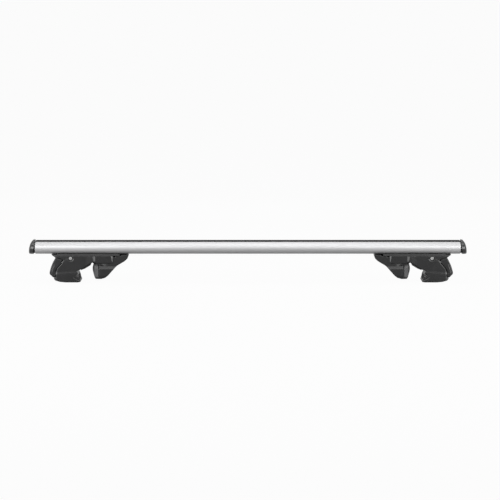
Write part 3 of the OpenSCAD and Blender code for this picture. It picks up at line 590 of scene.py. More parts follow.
def oval_points(inset=0.0, per_nose=40, per_arc=40):
    """The bar's section, anticlockwise from the lower flat's right end: flats, shallow arcs and round
    noses, each arc meeting the nose where both circles have the same tangent."""
    c = BAR_W / 2 - BAR_NOSE_R
    h = BAR_H / 2 + FLAT_W ** 2 / (8 * arc_radius(BAR_H / 2 + BAR_BULGE))
    big = arc_radius(h)
    meet = math.atan2(c, big - h)
    flat = math.acos((BAR_H / 2 - inset + big - h) / (big - inset))
    arc = np.linspace(flat, meet, per_arc, endpoint=False)
    nose = np.linspace(math.pi / 2 - meet, meet - math.pi / 2, per_nose)
    top = np.column_stack([(big - inset) * np.sin(arc), h - big + (big - inset) * np.cos(arc)])
    front = np.column_stack([c + (BAR_NOSE_R - inset) * np.cos(nose), (BAR_NOSE_R - inset) * np.sin(nose)])
    right = np.vstack([top, front, top[::-1] * [1, -1]])[::-1]
    return np.vstack([right, right[::-1] * [-1, 1]]) + [0, BAR_H / 2]


def slot_outline(opening, inner, depth, lip, round_r=0.5):
    """Half the outline of a T-slot, from its mouth's right edge to its floor's middle, z down from 0."""
    a = np.radians(np.linspace(90, 180, 5))
    mouth = np.column_stack([opening / 2 + round_r + round_r * np.cos(a), -round_r + round_r * np.sin(a)])
    return np.vstack([mouth, [[opening / 2, -lip], [inner / 2, -lip], [inner / 2, -depth], [0, -depth]]])


def bar_outline():
    """The bar's outer outline with the slot along its top and the channel along its underside."""
    oval = oval_points()
    half = len(oval) // 2
    down = slot_outline(**TOP_SLOT)[:-1] + [0, BAR_H]
    up = slot_outline(**CHANNEL)[:-1] * [1, -1]
    return np.vstack([up[::-1], oval[:half], down, down[::-1] * [-1, 1], oval[half:], up * [-1, 1]])


def lobe(side, inset, web):
    """The part of a nose that lies inset from the bar's outline and outside the web's plane."""
    part = oval_points(inset)
    part = part[part[:, 0] > web]
    part = np.vstack([[web, part[0][1]], part, [web, part[-1][1]]])
    return part if side > 0 else (part * [-1, 1])[::-1]


def chamber(side):
    """The hollow between a nose and a web; side is 0 for the one in the middle, between the slot and
    the channel."""
    if side:
        return lobe(side, BAR_WALL, NOSE_WEB)
    half = NOSE_WEB - BAR_WALL
    low, high = CHANNEL["depth"] + BAR_WALL, BAR_H - TOP_SLOT["depth"] - BAR_WALL
    return np.array([[-half, low], [half, low], [half, high], [-half, high]])


def strip_outline():
    """The strip's section: a rounded ribbed top over a neck in the slot and a wider foot. The top is
    at rise - groove * s(1 - distance from a groove) - fall, where fall rounds the edges by a quarter
    circle."""
    groove_depth, edge_r, ribs = 0.8, 0.9, 6
    y = np.linspace(-FLAT_W / 2, FLAT_W / 2, 241)[1:-1]
    pitch = FLAT_W / ribs
    from_groove = np.abs((y + FLAT_W / 2 + pitch / 2) % pitch - pitch / 2)
    edge = np.minimum(y + FLAT_W / 2, FLAT_W / 2 - y)
    depth = groove_depth * smooth(1 - from_groove) * (edge > pitch / 2)
    fall = edge_r * (1 - np.sqrt(np.clip(1 - (1 - np.clip(edge / edge_r, 0, 1)) ** 2, 0, 1)))
    top = np.column_stack([y, STRIP_RISE - depth - fall])[::-1]
    neck, foot, neck_z, foot_z, clear = 5.7, 8.25, -2.7, -4.7, 0.02
    right = np.array([(foot, foot_z), (foot, neck_z), (neck, neck_z), (neck, clear),
                      (FLAT_W / 2, clear), (FLAT_W / 2, STRIP_RISE - edge_r)])
    return np.vstack([right, top, right[::-1] * [-1, 1]]) + [0, BAR_H]


def cap_surface(rows=56, columns=97):
    """A cap for the bar's right end, x from the bar's end. For a height z it reaches out by reach(z),
    the leaning side view, and across by width(z), the bar's section, and its plan turns round the end
    in facets: x = rim(z) + (reach(z) - rim(z)) * u(t), y = width(z) * h(t). The rim leaves the dark
    ring of painted shade bare low down and closes over it towards the top."""
    z = cap_heights(rows)
    reach, width = cap_reach(z), cap_width(z)
    quarter = [(0.0, -1.0), (0.17, -0.974), (0.6, -0.90), (0.9, -0.62)]
    corners = np.array([*quarter, (1.0, 0.0), *[(u, -h) for u, h in quarter[::-1]]])
    t = np.linspace(0, len(corners) - 1, columns)
    plan = np.stack([facet_curve(t, corners[:, 0]), facet_curve(t, corners[:, 1])])
    rim = np.interp(z, [6.0, 26.0], [2.4, -1.2])
    x = rim[:, None] + (reach - rim)[:, None] * plan[0]
    y = width[:, None] * plan[1]
    verts = np.stack([x, y, np.broadcast_to(z[:, None], x.shape)], -1).reshape(-1, 3)
    ring = np.arange(columns)
    return verts, [quads(rows, columns), ring[None, ::-1], (ring + (rows - 1) * columns)[None]]


def facet_curve(t, values):
    """Runs between the values, three parts straight and one part easy curve, so that the corners are
    a little eased."""
    k = np.clip(np.floor(t).astype(int), 0, len(values) - 2)
    share = t - k
    return values[k] + (values[k + 1] - values[k]) * (0.75 * share + 0.25 * smooth(share))


def cap_heights(rows):
    """Heights from the cap's lower to its upper edge, closer together near both: -lip + (crest + lip)
    * (1 - cos(a)) / 2."""
    a = np.linspace(0, math.pi, rows)
    return -CAP_LIP + (CREST_Z + CAP_LIP) * (1 - np.cos(a)) / 2


def cap_reach(z):
    """How far the cap reaches past the bar at a height z: nearly upright below, leaning back to the crest."""
    at = np.array([-CAP_LIP, 0.2, 2.0, 8.0, 16.0, 23.0, 29.0, 33.5, 36.0, 37.2, CREST_Z])
    out = np.array([14.0, 15.2, 15.8, 15.6, 14.8, 13.2, 10.6, 7.4, 5.2, 4.0, 3.3])
    return np.interp(z, at, out)


def cap_width(z):
    """Half the cap's width at a height z: the bar's section, a lip larger, narrowing to the crest."""
    section = oval_points(-CAP_LIP)
    right = section[section[:, 0] > 0]
    right = right[np.argsort(right[:, 1])]
    width = np.interp(z, right[:, 1], right[:, 0])
    foot = np.interp(z, [-CAP_LIP, 0.2], [11.4, 12.0])
    crest = np.interp(z, [BAR_H + CAP_LIP, 36.2, 37.1, CREST_Z], [13.4, 12.3, 11.0, 9.0])
    return np.where(z > BAR_H + CAP_LIP, crest, np.maximum(width, foot))


def cap_plug():
    """Two hollow lobes that stand in the bar's chambers, from the bar's end inwards."""
    lobes = []
    for side in (-1, 1):
        gaps = (PLUG_GAP, PLUG_GAP + PLUG_WALL)
        loops = [lobe(side, BAR_WALL + gap, NOSE_WEB + gap) for gap in gaps]
        lobes.append(prism(loops, -PLUG_DEPTH, PLUG_JOIN, "x"))
    return joined(*lobes)


def at_bar(solid, end=0):
    """Moves a solid drawn at the bar's middle, or at its right end, to its place; end is -1, 0 or 1."""
    verts, faces = solid
    verts = verts + np.array([BAR_HALF * abs(end), 0, FOOT_DROP])
    if end < 0:
        return verts * np.array([-1.0, 1.0, 1.0]), [f[:, ::-1] for f in faces]
    return verts, faces


def make_bar():
    """The bar: its outline and three chambers carried along X, the outline a little smaller at both
    ends, where the saw cut is chamfered."""
    loops = [bar_outline(), chamber(-1), chamber(0), chamber(1)]
    verts, faces = prism(loops, SHADE_RING_INSIDE - BAR_HALF, BAR_HALF - SHADE_RING_INSIDE, "x")
    count, outer = len(verts) // 2, len(loops[0])
    middle = np.array([0, 0, BAR_H / 2])
    back = np.array([SAW_CHAMFER, 0, 0])
    inner_rows = [verts[:outer] + back, verts[count:count + outer] - back]
    for first in (0, count):
        end = verts[first:first + outer]
        end[:, 1:] = (end - middle)[:, 1:] * SAW_SHARE + middle[1:]
    k = np.arange(outer)
    after = (k + 1) % outer
    rows = [k, k + 2 * count, k + 2 * count + outer, k + count]
    walls = [np.stack([a, a[after], b[after], b], -1) for a, b in zip(rows[:-1], rows[1:])]
    outer_wall = 2
    faces = [f for i, f in enumerate(faces) if i != outer_wall] + walls
    bar = at_bar((np.vstack([verts, *inner_rows]), faces))
    return add_piece("bar_tube", bar, finish("anodised aluminium"), "bar", ["bar_extrusion"])


def make_strip():
    """The strip along the bar's top."""
    strip = at_bar(prism([strip_outline()], SHADE_RING_INSIDE - BAR_HALF, BAR_HALF - SHADE_RING_INSIDE, "x"))
    return add_piece("ribbed_strip", strip, finish("strip rubber"), "bar", ["rubber_strip"], 50)


def make_cap(side):
    """One end cap: its facetted shell and the plug in the bar, and a sunk ring between cap and tube, whose
    near-black rubber colour is painted shade for the groove there.
    """
    end = 1 if side == "right" else -1
    shade_ring = at_bar(prism([oval_points(SHADE_RING_INSET)], -SHADE_RING_INSIDE, SHADE_RING_OUTSIDE, "x"), end)
    cap = at_bar(joined(cap_surface(), cap_plug()), end)
    # The ring's dark rubber finish is painted shade for the groove between cap and tube.
    add_piece(side + "_seal", shade_ring, finish("pad rubber"), "bar", [])
    return add_piece(side + "_cap", cap, finish("cap plastic"), "bar", [side + "_end_cap"], 50)


# Foot

def cover_z(share):
    """A height on the cover as a share of its radius above the hinge."""
    return HINGE[1] + share * COVER_R


def parting_points(shift):
    """Corners of the line between the cover and the housing."""
    return [[HINGE[0] + x + shift, cover_z(share), 6.0] for x, share in PARTING]


def housing_corners():
    """Side view of the housing's main body."""
    x, g = HINGE[0], GROUND
    shelf, step = 3.2 - ARM_DROP, NOSE_X + 9.7
    return [
        [x - 0.8, g + 11.1, 1.2], [x + 3.7, g + 5.4, 6], [x + 16, g + 1.6, 14], [CLAW_X - 40.5, g, 20],
        [CLAW_X - 7.5, g, 10], [CLAW_X + 1.9, g + 1.4, 2], [CLAW_X - 1.5, g + 8, 8],
        [CLAW_X - 4.1, g + 20, 30], [CLAW_X - 9.4, g + 31.6, 2], [CLAW_X + 2, g + 35.4, 8],
        [NOSE_X - 5.3, -ARM_DROP - 0.2, 8], [NOSE_X + 3, shelf, 3], [step, shelf, 3],
        [step, TOP_Z, 3], [x + 8, TOP_Z, 1],
        *sharp(arc_points(HINGE, COVER_R + GAP, 85.5, 59, 8)), *parting_points(GAP),
        *sharp(arc_points(HINGE, KNUCKLE_R + GAP, 8, -72, 6)),
    ]


def pocket_corners():
    """The space inside the housing."""
    x, g, wall_x, roof = HINGE[0], GROUND, WALL_X0 + 1, TOP_Z - WALL
    return [
        [x + 9.5, g + 11.5, 2], [x + 18, g + 2.3 + WALL, 5], [CLAW_X - 40.5, g + WALL + 0.3, 12],
        [CLAW_X - 9, g + WALL + 0.3, 5], [CLAW_X - 2.3 - WALL, g + 3.2 + WALL, 2],
        [CLAW_X - 5.3 - WALL, g + 20, 20], [CLAW_X - 10 - WALL, g + 31, 2],
        [CLAW_X - 7 - WALL, g + 36.6, 2], [CLAW_X + 1, g + 36.4 + WALL, 3],
        [NOSE_X - 6.2, WALL - ARM_DROP + 0.4, 6], [NOSE_X + 2.5, WALL - ARM_DROP + 4, 2],
        [NOSE_X + 2.5, roof, 1], [wall_x, roof, 1], [wall_x, g + 58, 2],
        [x + 22 + WALL, cover_z(0.64), 6], [x + 8.9 + WALL, cover_z(0.36), 6],
        [x + 4.6 + WALL, cover_z(0.17), 4],
    ]


def crease(x):
    """Height of the faint crease that runs over the outer claw in a straight line, rising towards the
    mouth."""
    return CREASE_Z + (x - CREASE_X) * CREASE_SLOPE


def leaned(x, z):
    """Where an upright edge would be that leans through this point: x + lean * (z - height of no
    shift)."""
    return x + LEAN * (z - LEAN_Z)


def rib_facet(x, z):
    """1 inside the ribbed triangle at the claw's inner corner and 0 outside, with soft edges: an easy
    curve of the distance to the nearest of its three sides."""
    soft = 0.9
    middle = RIB_CORNERS.mean(0)
    inward = []
    for a, b in zip(RIB_CORNERS, np.roll(RIB_CORNERS, -1, axis=0)):
        n = np.array([a[1] - b[1], b[0] - a[0]]) / np.linalg.norm(b - a)
        n = n if (middle - a) @ n > 0 else -n
        inward.append((x - a[0]) * n[0] + (z - a[1]) * n[1])
    return smooth(np.min(inward, axis=0) / soft)


def chamfer(depth, width, distance):
    """A straight chamfer of that depth, which ends at width from the edge."""
    return -depth * np.clip(1 - distance / width, 0, 1)


def parting_x(z):
    """Where the parting line of cover and body lies at a height z."""
    points = np.array(parting_points(0.0))[:, :2]
    order = np.argsort(points[:, 1])
    return np.interp(z, points[order, 1], points[order, 0])


def claw_swell(x, z):
    """The claw swells below the crease, fading at the back and at the mouth, and a fine line lies
    along the crease: swell * s(depth under the crease) * s(x) * s(x) - line * bell(depth)."""
    swell, run, line, line_width = 1.7, 7, 0.35, 0.8
    back, mouth = (-104, -88), (-14, -24)
    under = crease(x) - z
    swollen = swell * smooth(under / run) * ramp(x, *back) * ramp(x, *mouth)
    return swollen - line * bell(under / line_width) * ramp(x, -22, -26)


def claw_ribs(x, z):
    """Saw-tooth ribs let into the triangle: rise * (the part of along / pitch after the point) - deep,
    where along runs square to the ribs."""
    deep, rise, pitch, across = 2.5, 2.3, 4.2, (0.46, -0.89)
    along = (x - RIB_CORNERS[0, 0]) * across[0] + (z - RIB_CORNERS[0, 1]) * across[1]
    return rib_facet(x, z) * (rise * ((along / pitch) % 1.0) - deep)


def claw_stripe(x, z):
    """A curved groove under the ribs, along a circle: steep inside the circle and sloping outside it,
    fading at both ends."""
    deep, steep, slope = 1.5, 0.6, 2.7
    beyond = np.hypot(x - STRIPE_CENTRE[0], z - STRIPE_CENTRE[1]) - STRIPE_R
    groove = np.clip(np.minimum(1 + beyond / steep, 1 - beyond / slope), 0, 1)
    return -deep * groove * ramp(x, -35, -33) * ramp(x, -17.4, -18.9) * (z < STRIPE_CENTRE[1])


def lock_dish(x, z):
    """A shallow dish round the lock: an easy curve of the distance from the lock's middle."""
    deep, rim, floor = 0.9, SLEEVE_R + 3.2, SLEEVE_R + 1.0
    return -deep * ramp(np.hypot(x - LOCK[0], z - LOCK[1]), rim, floor)


def arm_shoulder(x, z):
    """The side swells towards the arm and then falls in a straight slope to just under the arm's side:
    swell * s(x) - fall * (share of the slope that is behind)."""
    under_arm = 0.05
    fall = BODY_HALF - ARM_HALF + under_arm + SHOULDER_SWELL
    down = np.clip((leaned(x, z) - SHOULDER_X0) / (SHOULDER_X1 - SHOULDER_X0), 0, 1)
    return SHOULDER_SWELL * ramp(x, -4, 18) - fall * down


def cover_bevel(x, z):
    """The bevel along the parting line with the cover, which fades out at both its ends."""
    bevel = chamfer(depth=1.15, width=5.2, distance=x - parting_x(z))
    return bevel * ramp(z, -37, -47) * ramp(z, -70, -66)


def diagonal_step(x, z):
    """A soft step down above the diagonal, and a fine groove beside it: -deep * s(distance) - groove *
    bell(distance), both fading at the diagonal's ends."""
    deep, groove, groove_at, groove_width = 0.55, 0.25, 2.6, 0.7
    along = DIAGONAL[0] - DIAGONAL[1]
    n = np.array([along[1], -along[0]]) / np.linalg.norm(along)
    off = (x - DIAGONAL[0, 0]) * n[0] + (z - DIAGONAL[0, 1]) * n[1]
    step = -deep * ramp(off, 1.6, -3.0) * ramp(x, -45, -53) * ramp(z, -26, -16)
    return step - groove * bell((off - groove_at) / groove_width) * ramp(x, -47, -53) * ramp(z, -34, -26)


def housing_relief(x, z):
    """How far the housing's side stands out of its plane: the sum of its seven features."""
    features = (claw_swell, claw_ribs, claw_stripe, lock_dish, arm_shoulder, cover_bevel, diagonal_step)
    return sum(feature(x, z) for feature in features)


def arm_relief(x, z):
    """The bevel at the arm's end, which leans as the shoulder does."""
    return chamfer(depth=3.2, width=5.0, distance=ARM_END - leaned(x, z))


def cover_relief(x, z):
    """The cover's side steps down to a rim outside a line, which fades out towards the top."""
    deep = 0.95
    outside = np.interp(z, COVER_LINE[:, 1], COVER_LINE[:, 0]) - x
    return -deep * ramp(outside, -0.6, 1.6) * ramp(z, -18, -32)


def with_relief(solid, half, relief):
    """Moves a moulding's sides out by relief(x, z), fading to nothing towards the middle."""
    verts, faces = solid
    y = verts[:, 1]
    still, full = 0.45, 0.95
    moved = verts.copy()
    moved[:, 1] += np.sign(y) * ramp(np.abs(y) / half, still, full) * relief(verts[:, 0], verts[:, 2])
    return moved, faces


def point_grid(along, up):
    """Points in rows, each of the two directions given as its start, its end and its pitch."""
    x, z = np.meshgrid(np.arange(*along), np.arange(*up))
    return np.column_stack([x.ravel(), z.ravel()])


def fine_points():
    """Extra points where the housing's relief is finest: its ribs and stripe, the lock's dish, the
    shoulder, the cover's bevel and the diagonal."""
    finest, fine_enough = 0.55, 0.9
    fine = point_grid((-39, -16, finest), (GROUND + 4, GROUND + 32, finest))
    ring = np.hypot(*(fine - STRIPE_CENTRE).T)
    near_stripe = (np.abs(ring - STRIPE_R - 0.8) < 2.6) & (fine[:, 0] > -38)
    fine = fine[(rib_facet(fine[:, 0], fine[:, 1]) > 0) | near_stripe]
    r, a = np.meshgrid(np.arange(SLEEVE_R + 0.3, SLEEVE_R + 4, 0.5), np.radians(np.arange(0, 360, 6)))
    dish = np.column_stack([LOCK[0] + (r * np.cos(a)).ravel(), LOCK[1] + (r * np.sin(a)).ravel()])
    shoulder = point_grid((SHOULDER_X0 - 3, SHOULDER_X1 + 3, fine_enough), (-ARM_DROP, TOP_Z, 1.8))
    bevel = point_grid((-92, -66, fine_enough), (GROUND + 10, -33, 1.2))
    edge = parting_x(bevel[:, 1])
    bevel = bevel[(bevel[:, 0] > edge + 0.4) & (bevel[:, 0] < edge + 6.4)]
    diagonal = point_grid((-78, -44, fine_enough), (-38, -6, fine_enough))
    return np.vstack([fine, dish, shoulder, bevel, diagonal])


def housing_pocket(inner):
    """The space inside the housing, less the screw's wall, a rib across and the lock's boss."""
    past, wall_low, rib, boss_depth = inner + 1, GROUND + 38, (CLAW_X + 8, CLAW_X + 12), 10.5
    return carve(prism([outline(pocket_corners())], -inner, inner), [
        block((WALL_X0, -past, wall_low), (WALL_X1, past, 0)),
        block((rib[0], -past, GROUND), (rib[1], past, 0)),
        rod(*LOCK, -BODY_HALF, -BODY_HALF + boss_depth, SLEEVE_R + WALL),
    ])


def jaw_way(end, below):
    """The way that the jaw slides in, as far as an end and some way below the arm."""
    half = JAW_HALF + GAP
    return block((NOSE_X + 6, -half, -ARM_DROP - below), (end, half, TOP_Z - WALL))


def housing_arm():
    """The arm that guides the jaw, with the jaw's way cut through it."""
    start, low, high = NOSE_X + 1, -ARM_DROP, TOP_Z
    corners = [[start, low, 3], [ARM_END, low, 5], [ARM_END, high, 3], [start, high, 3]]
    end = point_grid((ARM_END - 6.0, ARM_END - 2.6, 0.7), (low + 3.5, high - 3.2, 1.8))
    arm = with_relief(skin(corners, ARM_HALF, extra=end), ARM_HALF, arm_relief)
    return carve(arm, [jaw_way(ARM_END + 1, 1)])


def hinge_lugs():
    """The two lugs that carry the cover's pin."""
    x, z = HINGE
    web = [(x, z - 4.4), (x + 11, GROUND + 12), (x + 10, z + 3.8), (x, z + 4.4)]
    lugs = []
    for low, high in (LUG_Y, (-LUG_Y[1], -LUG_Y[0])):
        lugs += [rod(x, z, low, high, KNUCKLE_R - 0.2), prism([web], low, high)]
    return lugs


def tongue_room():
    """Where the cover's tongue swings through the housing, and the space round the lock's cam."""
    low, high = -BODY_HALF + SLEEVE_DEPTH - 1.2, TONGUE_Y[1] + 0.8
    rings = [arc_points(HINGE, r, 0, 357, 120) for r in (COVER_R + 0.5, COVER_R - 9)]
    swing = prism(rings, low, high)
    reach = block((HINGE[0] + 14, low - 1, GROUND + 36), (WALL_X1 + 1, high + 1, 0))
    x, z = LOCK
    cam = block((x - 24.5, low, z - 13.5), (WALL_X1 + 3.5, high, z + 5.3))
    return [carve(swing, [reach], "INTERSECT"), cam, rod(x, z, low, high, CAM_R)]


def housing_holes(inner):
    """What is cut from the housing besides the tongue's room: the clamp screw's seat and hole, the
    pin's and the sleeve's holes, a window under the bar, the claw pad's seat and the saddle screws'
    holes."""
    head, roof = HEAD_R + 0.8, TOP_Z - WALL - 1
    pad_low, pad_high = GROUND + 8, GROUND + 21
    pad_seat = [(CLAW_X - 3.2, pad_low), (CLAW_X + 4, pad_low), (CLAW_X + 4, pad_high),
                (CLAW_X - 6.2, pad_high)]
    return [
        block((WALL_X0 - 22, -head, SCREW_Z - head), (WALL_X0, head, SCREW_Z + HEAD_R + 0.6)),
        rod(0, SCREW_Z, WALL_X0 - 1, NOSE_X + 12, SCREW_R + 0.5, "x"),
        rod(*HINGE, -BODY_HALF, BODY_HALF, PIN_R),
        rod(*LOCK, -BODY_HALF - 1, -BODY_HALF + SLEEVE_DEPTH, SLEEVE_R + 0.05),
        block((WALL_X1 + 17, -inner + 5, roof), (CLAW_X + 5, inner - 5, 0)),
        prism([pad_seat], 6 - BODY_HALF, BODY_HALF - 6),
        *[rod(x, 0, roof, TOP_Z + 1, SADDLE_SCREW_HOLE_R, "z")
          for x in (SADDLE_X - SADDLE_SCREW_X, SADDLE_X + SADDLE_SCREW_X)],
    ]


def housing_solid():
    """The housing: the body's moulding with its relief and the arm's, hollowed and cut as its solid is."""
    inner = BODY_HALF - WALL
    body = with_relief(skin(housing_corners(), BODY_HALF, extra=fine_points()), BODY_HALF, housing_relief)
    body = carve(body, [housing_pocket(inner), jaw_way(NOSE_X + 12, 9)])
    whole = carve(body, [housing_arm(), *hinge_lugs()], "UNION")
    return carve(whole, [*tongue_room(), *housing_holes(inner)])


def cover_curve():
    """Corners of the cover's outer curve, from its upper end down to its foot."""
    x = HINGE[0]
    return [[x - 1.3, cover_z(0.79), 24], [x - 7.6, cover_z(0.507), 30], [x - 12.1, cover_z(0.2), 14],
            [x - 11.5, cover_z(0.089), 4]]


def cover_corners():
    """Side view of the end cover."""
    return [*cover_curve(), *sharp(arc_points(HINGE, KNUCKLE_R, 225, 360, 14)), *parting_points(-GAP)[::-1],
            *sharp(arc_points(HINGE, COVER_R, 62, 85, 7))]


def cover_space_corners():
    """The cover's outer curve carried on past its open edges."""
    x, z = HINGE
    low, far = z - 14.8, x + 70
    return [*cover_curve(), [x + 8, low, 0], [far, low, 0], [far, 0, 0], [x + 7.8, 0, 0],
            [x + 3.6, cover_z(0.99), 2]]


def sector_band(y, a, b):
    """A band of the cover's tongue about the hinge, over a span of y and between two angles."""
    outer, inner = [arc_points(HINGE, r, a, b, 40) for r in (TONGUE_FRONT, TONGUE_BACK)]
    return prism([np.vstack([outer, inner[::-1]])], *y)


def cover_solid():
    """The end cover: a thin shell with soft outer edges, its knuckles and the tongue that locks it."""
    x, z = HINGE
    inner, pin_end = BODY_HALF - COVER_WALL, BODY_HALF - 0.5
    shell = skin(cover_corners(), BODY_HALF, COVER_EDGE, spacing=1.6, steps=8)
    shell = with_relief(shell, BODY_HALF, cover_relief)
    space = prism([outline(cover_space_corners(), COVER_WALL)], -inner, inner)
    lugs_room = rod(x, z, -inner, inner, KNUCKLE_R + 0.6)
    shell = carve(shell, [space, lugs_room, rod(x, z, -pin_end, pin_end, PIN_R + 0.05)])
    low, high = TONGUE_Y
    reach = block((x + 12, low - 1, GROUND), (WALL_X1 + 20, high + 1, 0))
    limits = carve(prism([outline(cover_corners(), 0.5)], low - 1, high + 1), [reach], "UNION")
    tongue = carve(sector_band(TONGUE_Y, LIP_ANGLE, TONGUE_TOP), [limits], "INTERSECT")
    return joined(shell, tongue, sector_band((LIP_Y, low + 0.5), LIP_ANGLE, LIP_ANGLE + LIP_WIDTH))


def jaw_corners():
    """Side view of the jaw."""
    x, low = NOSE_X, JAW_LOW
    return [
        [x + 9, low + 0.3, 3], [x + 23.5, low, 12], [x + 34.5, low + 3, 14], [x + 43, low + 9.8, 12],
        [x + 66, -32.6, 40], [x + 88.5, -19.4, 26], [x + 97.2, -11, 12], [x + 98.4, -JAW_RIM, 1.5],
        [SADDLE_END + JAW_ROOM, -JAW_RIM, 1], [SADDLE_END + JAW_ROOM, TOP_Z - GAP, 1],
        [ARM_END + JAW_ROOM, TOP_Z - GAP, 1], [ARM_END + JAW_ROOM, JAW_TOP, 1],
        [x + 10.5, JAW_TOP, 1.5], [x + 10.5, SHELF_Z, 2],
        [x + 2.8, SHELF_Z, 2.5], [x - 0.6, -39.5, 24], [x + 0.6, GROUND + 30, 24], [x + 6, low + 4.2, 10],
    ]


def jaw_width(x, z):
    """Half the jaw's width: narrow in the arm, full at the claw below it, with a recess under the arm,
    drawn in again at its foot and along the nose's back edge, and narrowing in two straight runs to
    the nose. The two meet by a soft minimum: -soft * log(exp(-wide / soft) + exp(-prow / soft))."""
    claw = JAW_HALF + (CLAW_HALF - JAW_HALF) * ramp(z, -31.5, -42.5)
    recess = 3.2 * ramp(z, -32, -29.5) * ramp(x, 60, 38)
    foot = 2.5 * ramp(z, JAW_LOW + 11, JAW_LOW - 2)
    nose_back, seam_width = NOSE_X + NOSE_DEPTH + 0.4, 0.8
    seam = 2.2 * bell((x - nose_back) / seam_width)
    seam = seam * ramp(z, NOSE_LOW, NOSE_LOW + 2) * ramp(z, NOSE_HIGH, NOSE_HIGH - 2)
    wide = claw - recess - foot - seam
    steep, gentle, tip, knee, soft = 1.57, 0.42, 12.0, 11.0, 0.8
    front = steep * np.maximum(x - NOSE_X + 1.5, 0)
    prow = tip + np.minimum(front, knee + gentle * (x - NOSE_X - 5.5))
    return -np.log(np.exp(-wide / soft) + np.exp(-prow / soft)) * soft


def shaped_to(solid, half, edge, width):
    """Changes a moulding's width: points within edge of its side keep their distance from it, and the
    rest move in proportion."""
    verts, faces = solid
    y = np.abs(verts[:, 1])
    goal = width(verts[:, 0], verts[:, 2])
    near = y > half - edge - 1e-6
    moved = np.where(near, goal - (half - y), y * (goal - edge) / (half - edge))
    return np.column_stack([verts[:, 0], np.sign(verts[:, 1]) * moved, verts[:, 2]]), faces


def nose_region():
    """The space of the rubber nose round the jaw's front."""
    return block((NOSE_X - 8, -40, NOSE_LOW), (NOSE_X + NOSE_DEPTH, 40, NOSE_HIGH))


def nose_core():
    """The part of the jaw that the nose is moulded over."""
    x, t, back = NOSE_X, NOSE_WALL, NOSE_X + NOSE_DEPTH
    side = [(x + 5.4 + t, NOSE_LOW - 1), (back + 1, NOSE_LOW - 1), (back + 1, NOSE_HIGH + 1),
            (x + 1.4 + t, NOSE_HIGH + 1), (x + t, -40), (x + 0.8 + t, -48), (x + 2.5 + t, GROUND + 24)]
    half, tip = CLAW_HALF - t, 10 - t
    plan = [(x + 0.5, -tip), (back, -half), (back + 1, -half), (back + 1, half), (back, half), (x + 0.5, tip)]
    return carve(prism([side], -60, 60), [prism([plan], JAW_LOW, 0, "z")], "INTERSECT")


def jaw_blank():
    """The jaw's whole outer form, with extra points along the nose's back edge."""
    back = NOSE_X + NOSE_DEPTH
    fine = point_grid((back - 1.8, back + 2.8, 0.45), (NOSE_LOW, NOSE_HIGH, 1.2))
    blank = skin(jaw_corners(), CLAW_HALF, EDGE, spacing=1.6, extra=fine)
    return shaped_to(blank, CLAW_HALF, EDGE, jaw_width)


def jaw_solid():
    """The jaw without its rubber nose, with its hollows and the seats of screw and nut."""
    x, inner, nut = NOSE_X, JAW_HALF - 3.4, 6.6
    hollow = [[x + 32, 3, 0], [x + 32, -46, 4], [x + 41, -52, 4], [x + 63.5, -29.5, 20],
              [x + 86, -15.6, 10], [x + 92, -8, 6], [x + 93.5, 3, 0]]
    cutters = [
        carve(nose_region(), [nose_core()]),
        rod(0, SCREW_Z, x + 9, x + 36, SCREW_R + 0.5, "x"),
        block((x + 17.9, -nut, SCREW_Z - nut), (x + 24.6, nut, 0)),
        prism([outline(hollow)], -inner, inner),
    ]
    for low, high in ((2.0, JAW_HALF - 4), (4 - JAW_HALF, -2.0)):
        cutters.append(block((x + 12, low, JAW_LOW - 1), (x + 27, high, SHELF_Z - 7)))
    return carve(jaw_blank(), cutters)


def nose_solid():
    """The rubber nose: the jaw's outer form inside its space, less the core."""
    return carve(jaw_blank(), [carve(nose_region(), [nose_core()])], "INTERSECT")


FOOT_PARTS = (
    # name, what makes it, finish, body, node, slot
    ("body", housing_solid, "foot plastic", "foot", "housing", "moulded_body"),
    ("cover_shell", cover_solid, "foot plastic", "cover", "end_cover", "moulded_body"),
    ("sliding_jaw", jaw_solid, "foot plastic", "jaw", "jaw", "moulded_body"),
    ("rubber_nose", nose_solid, "nose plastic", "jaw", "jaw_pad", "rubber"),
)
COPIED = (
    # node, finish, slot, bevel
    ("saddle", "foot plastic", "moulded_body", 0.4),
    ("saddle_pad", "pad rubber", "rubber", 0.0),
    ("channel_plate", "zinc plated steel", "zinc_steel", 0.3),
    ("saddle_screws", "zinc plated steel", "zinc_steel", 0.2),
    ("rail_pad", "pad rubber", "rubber", 0.4),
    ("claw_pad", "pad rubber", "rubber", 0.25),
    ("hinge_pin", "zinc plated steel", "zinc_steel", 0.2),
    ("clamp_screw", "zinc plated steel", "zinc_steel", 0.3),
    ("clamp_washer", "zinc plated steel", "zinc_steel", 0.15),
    ("retaining_clip", "zinc plated steel", "zinc_steel", 0.15),
    ("lock_sleeve", "foot plastic", "moulded_body", 0.25),
    ("lock_barrel", "lock nickel", "lock_metal", 0.2),
    ("lock_cam", "zinc plated steel", "zinc_steel", 0.2),
    ("cam_screw", "zinc plated steel", "zinc_steel", 0.2),
    ("clamp_nut", "zinc plated steel", "zinc_steel", 0.3),
)
made_solids = {}


def make_foot_part(side, part):
    """One of the foot's newly made pieces."""
    name, make, look, body, node, slot = part
    if name not in made_solids:
        made_solids[name] = make()
    solid = to_foot(made_solids[name], side)
    return add_piece(f"{side}_{name}", solid, finish(look), f"{side}_{body}", [f"{side}_{node}"])


# Stage, in metres

FLOOR_HALF = 60.0
